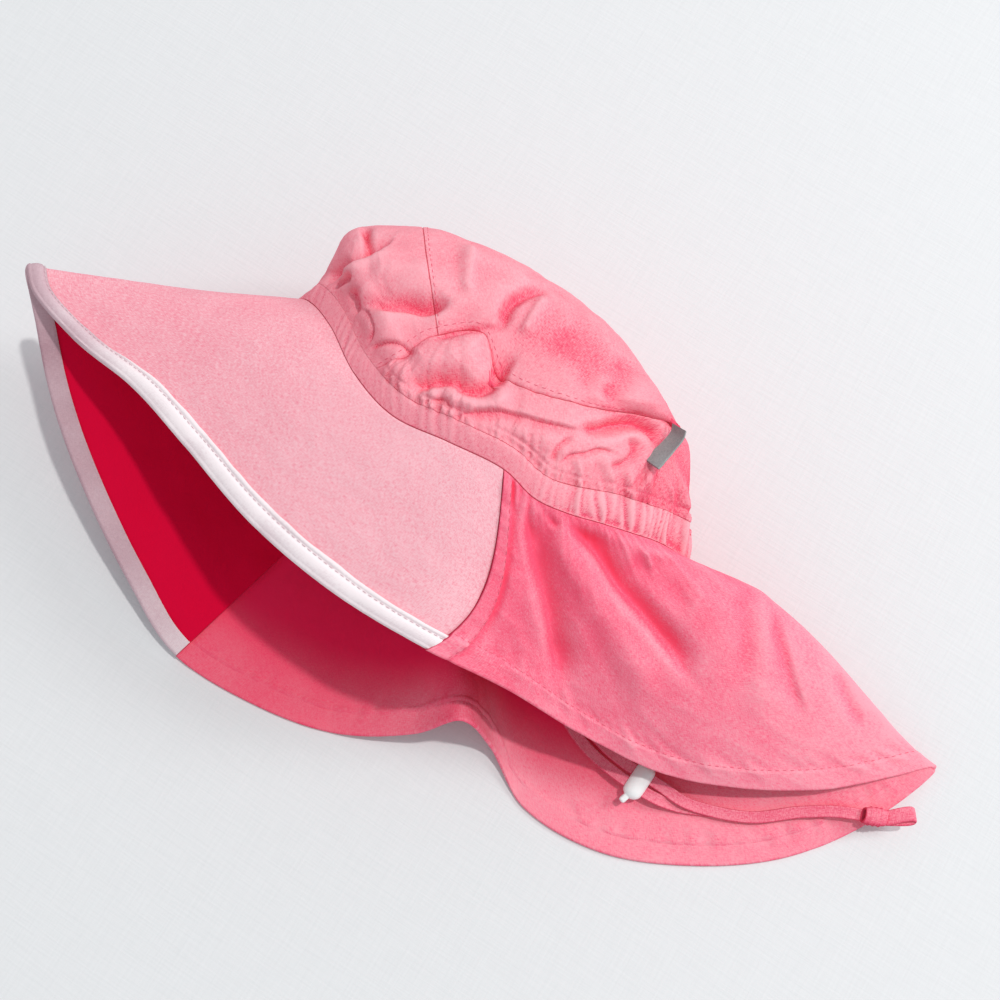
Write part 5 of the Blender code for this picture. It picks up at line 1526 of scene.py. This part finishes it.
def height_over(plan, grids):
    """The highest point of the given faces below each point seen from above."""
    heights = np.zeros(len(plan))
    for grid in grids:
        a, b, c, d = (
            part.reshape(-1, 3) for part in (grid[:-1, :-1], grid[:-1, 1:], grid[1:, 1:], grid[1:, :-1])
        )
        for one, two, three in ((a, b, c), (a, c, d)):
            u, v = two[:, :2] - one[:, :2], three[:, :2] - one[:, :2]
            area = u[:, 0] * v[:, 1] - u[:, 1] * v[:, 0]
            area = np.where(np.abs(area) < 1e-12, 1e-12, area)
            for index, point in enumerate(plan):
                away = point - one[:, :2]
                s = (away[:, 0] * v[:, 1] - away[:, 1] * v[:, 0]) / area
                t = (u[:, 0] * away[:, 1] - u[:, 1] * away[:, 0]) / area
                hit = (s >= -0.02) & (t >= -0.02) & (s + t <= 1.02)
                if hit.any():
                    rise = s[hit] * (two[hit, 2] - one[hit, 2]) + t[hit] * (three[hit, 2] - one[hit, 2])
                    heights[index] = max(heights[index], (one[hit, 2] + rise).max())
    return heights


def strand_line(route, supports, steps=120):
    """A strand's centreline, lifted clear of what it lies on."""
    route = np.array(route)
    knots = lengths_along(route)
    line = spline(knots, route, np.linspace(0, knots[-1], steps + 1))
    sideways = unit(np.cross(UP, unit(np.gradient(line, axis=0))))
    rest = np.zeros(len(line))
    for share in (-0.5, 0.0, 0.5):
        rest = np.maximum(rest, height_over((line + sideways * share * STRAP_WIDTH)[:, :2], supports))
    for _ in range(3):
        rest = np.maximum(rest, np.maximum(np.roll(rest, 1), np.roll(rest, -1)) - 0.00015)
    line[:, 2] = np.maximum(line[:, 2], rest + STRAP_WALL / 2 + STRAP_ROOM)
    for _ in range(4):
        line[1:-1, 2] = np.maximum(line[1:-1, 2], (line[:-2, 2] + line[2:, 2]) / 2)
    return line, sideways


def strap_piece(node, line, sideways, width, thick):
    """A flat folded strap with a full edge on both sides, along a line."""
    up = unit(np.cross(unit(np.gradient(line, axis=0)), sideways))
    half = [
        (0.0, 0.7), (0.3, 0.66), (0.56, 0.74), (0.72, 1.0), (0.86, 0.92), (0.96, 0.55), (1.0, 0.0),
        (0.9, -0.7), (0.6, -0.9), (0.0, -0.85),
    ]
    mirrored = [(-across, lift) for across, lift in half[::-1]]
    section = mirrored[3:] + half[1:] + mirrored[1:3]
    along = lengths_along(line)
    ripple = 1 + 0.12 * soft_noise(paired(along, 0.0), 0.004, 95)[:, None]
    grid = np.array([
        line + sideways * across * width / 2 + up * lift * thick / 2 * ripple for across, lift in section
    ])
    made = section_piece(node + "_cloth", grid, along, FINISHES["strap"], sharp=70.0)
    return placed(made, "strap_pink_cloth", node)


def make_strap(lower):
    """Both strands, the toggle on them, the knot and the loop past it."""
    far_line, far_side = strand_line(FAR_STRAND, [lower])
    far_cloth = strap_piece("chin_strap_far", far_line, far_side, STRAP_WIDTH, STRAP_WALL)
    top = np.array([far_line + far_side * s * STRAP_WIDTH / 2 for s in (-1, 1)])
    top[..., 2] += STRAP_WALL / 2
    near_line, near_side = strand_line(NEAR_STRAND, [lower, top])
    near_cloth = strap_piece("chin_strap_near", near_line, near_side, STRAP_WIDTH, STRAP_WALL)
    side = near_side[-1]
    way = unit((near_line[-1] - near_line[-3]) * np.array([1.0, 1.0, 0.0]))
    middle = np.mean(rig.box("strap_knot"), axis=0) - ORIGIN_SHIFT
    pieces = [make_toggle(), make_knot(middle, way, side)]
    pieces.append(make_end_loop(middle + way * KNOT_LENGTH / 2, way, side))
    for cloth, line, ridden in ((far_cloth, far_line, []), (near_cloth, near_line, pieces)):
        path = (line + ORIGIN_SHIFT).tolist()
        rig.cord(
            cloth, exit=path[0], length=float(lengths_along(line)[-1]), diameter=STRAP_WIDTH,
            far_end="knot", stiffness="limp", lay="loose", path=path, with_pieces=ridden,
        )


def applied(item, kind, **settings):
    """Puts a modifier on an object and applies it."""
    bpy.ops.object.select_all(action="DESELECT")
    item.select_set(True)
    bpy.context.view_layer.objects.active = item
    modifier = item.modifiers.new(kind.lower(), kind)
    for key, value in settings.items():
        setattr(modifier, key, value)
    bpy.ops.object.modifier_apply(modifier=modifier.name)


def rounded_block(size, place=(0.0, 0.0, 0.0), turn=0.0):
    """A block with round edges."""
    bpy.ops.mesh.primitive_cube_add(size=1.0, location=place)
    block = bpy.context.object
    block.scale = size
    block.rotation_euler = (0.0, 0.0, turn)
    bpy.ops.object.transform_apply(location=True, rotation=True, scale=True)
    applied(block, "BEVEL", width=0.0009, segments=4)
    return block


def make_toggle():
    """A smooth white capsule with a slot for the strands and a small moulded tail."""
    bpy.ops.mesh.primitive_uv_sphere_add(segments=40, ring_count=24, radius=0.5)
    body = bpy.context.object
    body.name = "strap_toggle_body"
    body.rotation_euler = (math.radians(90), 0.0, 0.0)
    bpy.ops.object.transform_apply(location=False, rotation=True, scale=False)
    straight = (TOGGLE_LENGTH - TOGGLE_WIDTH) / 2
    for vertex in body.data.vertices:
        x, y, z = vertex.co
        past = math.copysign(straight, y) if abs(y) > 1e-6 else 0.0
        vertex.co = (x * TOGGLE_WIDTH, y * TOGGLE_WIDTH + past, z * TOGGLE_HEIGHT)
    tail, slot = rounded_block(TOGGLE_TAIL, TAIL_PLACE, TAIL_TURN), rounded_block(TOGGLE_SLOT)
    for operation, item in (("UNION", tail), ("DIFFERENCE", slot)):
        applied(body, "BOOLEAN", operation=operation, object=item)
        bpy.data.objects.remove(item, do_unlink=True)
    edge = math.radians(40)
    applied(body, "BEVEL", width=0.00025, segments=2, limit_method="ANGLE", angle_limit=edge)
    body.data.materials.clear()
    body.data.materials.append(FINISHES["toggle"])
    body.data.transform(Matrix.Rotation(TOGGLE_TURN, 4, "Z"))
    body.data.transform(Matrix.Translation(Vector(TOGGLE_PLACE)))
    bpy.ops.object.shade_smooth_by_angle(angle=edge)
    return placed(body, "white_plastic", "strap_toggle")


def make_knot(middle, way, side):
    """The strap wrapped once round both strands."""
    line = []
    for turn in np.linspace(0, 2 * math.pi, 49)[:-1]:
        c, s = math.cos(turn), math.sin(turn)
        across = math.copysign(abs(c) ** 0.7, c) * (KNOT_WIDTH / 2 - KNOT_INSET)
        rise = math.copysign(abs(s) ** 0.8, s) * (KNOT_HEIGHT / 2 - KNOT_INSET)
        line.append(side * across + UP * rise + way * 0.0008 * math.sin(turn + 0.6))
    line = np.array(line)
    rows = []
    for offset in np.linspace(-0.5, 0.5, 13):
        edge = 1.0 - 0.18 * abs(2 * offset) ** 4
        pleat = 0.00022 * math.cos(offset * 26)
        rows.append(line * edge + way * offset * KNOT_LENGTH * 0.92 + unit(line) * pleat)
    outer = np.array(rows)
    out = unit(outer)
    out = unit(out - way * (out @ way)[..., None])
    made = cloth_wall(
        "strap_knot_cloth", outer + middle, out, KNOT_WALL, FINISHES["strap"], closed=True, round_start=True
    )
    return placed(made, "strap_pink_cloth", "strap_knot")


def make_end_loop(start, way, side):
    """The flat folded loop that stands out past the knot."""
    turned = unit(way + 0.25 * side)
    across = unit(side - 0.25 * way)
    line = []
    for turn in np.linspace(-math.pi + 0.25, math.pi - 0.25, 73):
        reach = 0.5 + 0.5 * math.cos(turn)
        rise = 0.00085 * math.copysign(abs(math.sin(turn)) ** 0.5, turn) + 0.0005 * reach
        sway = 0.0012 * math.sin(turn) * reach
        line.append(start + turned * (reach * (END_LOOP - 0.0012) - 0.0004) + across * sway + UP * rise)
    line = np.array(line)
    return strap_piece("strap_end_loop", line, np.broadcast_to(across, line.shape), LOOP_WIDTH, STRAP_WALL)


# Stage


def make_floor():
    """Pale woven canvas below the hat."""
    bpy.ops.mesh.primitive_plane_add(size=FLOOR_SIZE, location=(0.0, 0.0, FLOOR_HEIGHT))
    floor = bpy.context.object
    floor.name = "pale_floor"
    made, tree, shader = new_material("pale_canvas")
    place = add_node(tree, "ShaderNodeTexCoord").outputs["Object"]
    tones = []
    for stretch in ((900.0, 60.0, 1.0), (60.0, 900.0, 1.0)):
        moved = add_node(tree, "ShaderNodeMapping", Vector=place, Scale=stretch, Rotation=(0, 0, 0.55))
        noise = add_node(tree, "ShaderNodeTexNoise", Vector=moved.outputs[0], Scale=1.0, Detail=2.0)
        tones.append(noise.outputs[0])
    height = weighed(tree, 0.0, *((tone, 1.0) for tone in tones))
    bump = add_node(tree, "ShaderNodeBump", Strength=0.25, Distance=0.0004, Height=height)
    share = weighed(tree, 0.0, (height, 0.5))
    set_node(tree, shader, **{
        "Base Color": colour_ramp(tree, share, (0.76, 0.775, 0.785), (0.86, 0.87, 0.88)),
        "Normal": bump.outputs[0],
        "Roughness": 0.9,
    })
    floor.data.materials.append(made)
    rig.stage(floor)


def lamp(name, kind, place, **settings):
    """A light that shines from its place towards the hat."""
    data = bpy.data.lights.new(name, kind)
    for key, value in settings.items():
        setattr(data, key, value)
    made = bpy.data.objects.new(name, data)
    made.location = place
    made.rotation_euler = Vector(place).to_track_quat("Z", "Y").to_euler()
    bpy.context.scene.collection.objects.link(made)


def make_stage(looks):
    """Pale woven floor, studio light and the camera nearly overhead."""
    make_floor()
    scene = bpy.context.scene
    world = bpy.data.worlds.new("studio_air")
    world.use_nodes = True
    air = world.node_tree.nodes["Background"]
    set_node(world.node_tree, air, Color=(0.93, 0.96, 1.0, 1.0), Strength=looks.fill_light)
    scene.world = world
    turn = looks.camera_roll
    right = np.array([math.cos(turn), math.sin(turn), 0.0])
    up = np.array([-math.sin(turn), math.cos(turn), 0.0])
    frame_axes = np.array([right, up, UP])
    key, side = np.array(KEY_LIGHT_AT) @ frame_axes, np.array(SIDE_LIGHT_AT) @ frame_axes
    lamp(
        "key_light", "SUN", key, energy=looks.key_light, angle=math.radians(2.5), color=(1.0, 0.985, 0.96)
    )
    lamp("side_light", "AREA", side, energy=looks.side_light, size=0.4)

    lens = bpy.data.cameras.new("photo_view")
    lens.lens, lens.sensor_width, lens.clip_start = 50.0, 36.0, 0.01
    camera = bpy.data.objects.new("photo_view", lens)
    tilt = looks.camera_elevation
    top = Vector(up * math.sin(tilt) + UP * math.cos(tilt))
    back = Vector(right).cross(top)
    matrix = Matrix((Vector(right), top, back)).transposed().to_4x4()
    matrix.translation = Vector(PICTURE_MIDDLE) + back * looks.camera_distance
    camera.matrix_world = matrix
    scene.collection.objects.link(camera)
    scene.camera = camera
    scene.view_settings.view_transform = "Standard"


# Add-on


def colour_setting(name, text, default):
    """A colour in the panel."""
    return FloatVectorProperty(
        name=name, description=text, subtype="COLOR", default=default, min=0.0, max=1.0
    )


class SunHatLooks(bpy.types.PropertyGroup):
    """Colours, light and camera of the hat."""

    crown_colour: colour_setting("Crown colour", "Yarn colour of crown and flap", (0.96, 0.29, 0.36))
    brim_colour: colour_setting("Brim colour", "Pale yarn colour of the brim", (0.97, 0.41, 0.48))
    # Painted shade: the lining's deep raspberry stands in for the shade under the brim.
    lining_shade_colour: colour_setting("Lining shade colour", "Colour of the brim's lining, painted deep as its shade", (0.90, 0.002, 0.065))
    binding_colour: colour_setting("Binding colour", "Colour of the tape round the brim", (0.98, 0.88, 0.90))
    camera_elevation: FloatProperty(
        name="Camera elevation", description="Height of the camera above the horizon", subtype="ANGLE",
        default=math.radians(77.2),
    )
    camera_roll: FloatProperty(
        name="Camera roll", description="Turn of the picture against the hat", subtype="ANGLE",
        default=math.atan2(0.530, 0.848),
    )
    camera_distance: FloatProperty(
        name="Camera distance", description="From the lens to the middle of the picture", unit="LENGTH",
        default=0.56, min=0.2,
    )
    key_light: FloatProperty(name="Key light", description="Strength of the sun-like light", default=1.22)
    side_light: FloatProperty(name="Side light", description="Strength of the soft side light", default=6.5)
    fill_light: FloatProperty(name="Fill light", description="Strength of the light all round", default=0.52)


class HatStep:
    """What every build step shares. Each says in build what it makes."""

    bl_options = {"REGISTER", "UNDO"}

    def execute(self, context):
        self.build(context.scene.sun_hat)
        return {"FINISHED"}


STATE = {}


class HAT_OT_stage(HatStep, bpy.types.Operator):
    """Adds the floor, the light and the camera, and mixes the finishes"""

    bl_idname = "hat.stage"
    bl_label = "Stage and Finishes"

    def build(self, looks):
        make_finishes(looks)
        make_stage(looks)


class HAT_OT_flap(HatStep, bpy.types.Operator):
    """Adds the neck flap with its hem"""

    bl_idname = "hat.flap"
    bl_label = "Neck Flap"

    def build(self, looks):
        STATE["lower"] = make_flap()


class HAT_OT_strap(HatStep, bpy.types.Operator):
    """Adds the chin strap, its toggle and its knot"""

    bl_idname = "hat.strap"
    bl_label = "Chin Strap"

    def build(self, looks):
        if "lower" not in STATE:
            raise RuntimeError("the flap comes before the strap that lies on it")
        make_strap(STATE["lower"])


class HAT_OT_brim(HatStep, bpy.types.Operator):
    """Adds the brim, its lining and its binding"""

    bl_idname = "hat.brim"
    bl_label = "Brim"

    def build(self, looks):
        make_brim()


class HAT_OT_band(HatStep, bpy.types.Operator):
    """Adds the gathered band"""

    bl_idname = "hat.band"
    bl_label = "Band"

    def build(self, looks):
        make_band()


class HAT_OT_crown(HatStep, bpy.types.Operator):
    """Adds the crown's panels, their stitching and the label"""

    bl_idname = "hat.crown"
    bl_label = "Crown"

    def build(self, looks):
        make_crown()


class HAT_PT_panel(bpy.types.Panel):
    """Build steps and looks of the hat"""

    bl_idname = "HAT_PT_panel"
    bl_label = "Sun Hat"
    bl_space_type = "VIEW_3D"
    bl_region_type = "UI"
    bl_category = "Sun Hat"

    def draw(self, context):
        looks = context.scene.sun_hat
        for name in SunHatLooks.__annotations__:
            self.layout.prop(looks, name)
        for step in STEPS:
            self.layout.operator(step.bl_idname)


STEPS = (HAT_OT_stage, HAT_OT_flap, HAT_OT_strap, HAT_OT_brim, HAT_OT_band, HAT_OT_crown)
CLASSES = (SunHatLooks, *STEPS, HAT_PT_panel)


def register():
    for item in CLASSES:
        bpy.utils.register_class(item)
    bpy.types.Scene.sun_hat = PointerProperty(type=SunHatLooks)


def unregister():
    del bpy.types.Scene.sun_hat
    for item in reversed(CLASSES):
        bpy.utils.unregister_class(item)


def main():
    register()
    for step in STEPS:
        group, name = step.bl_idname.split(".")
        getattr(getattr(bpy.ops, group), name)()
    sizes = {"cad": CAD_BOX, "visual": [list(corner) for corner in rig.bounds()]}
    with open("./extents.json", "w") as file:
        json.dump(sizes, file)


if __name__ == "__main__":
    main()
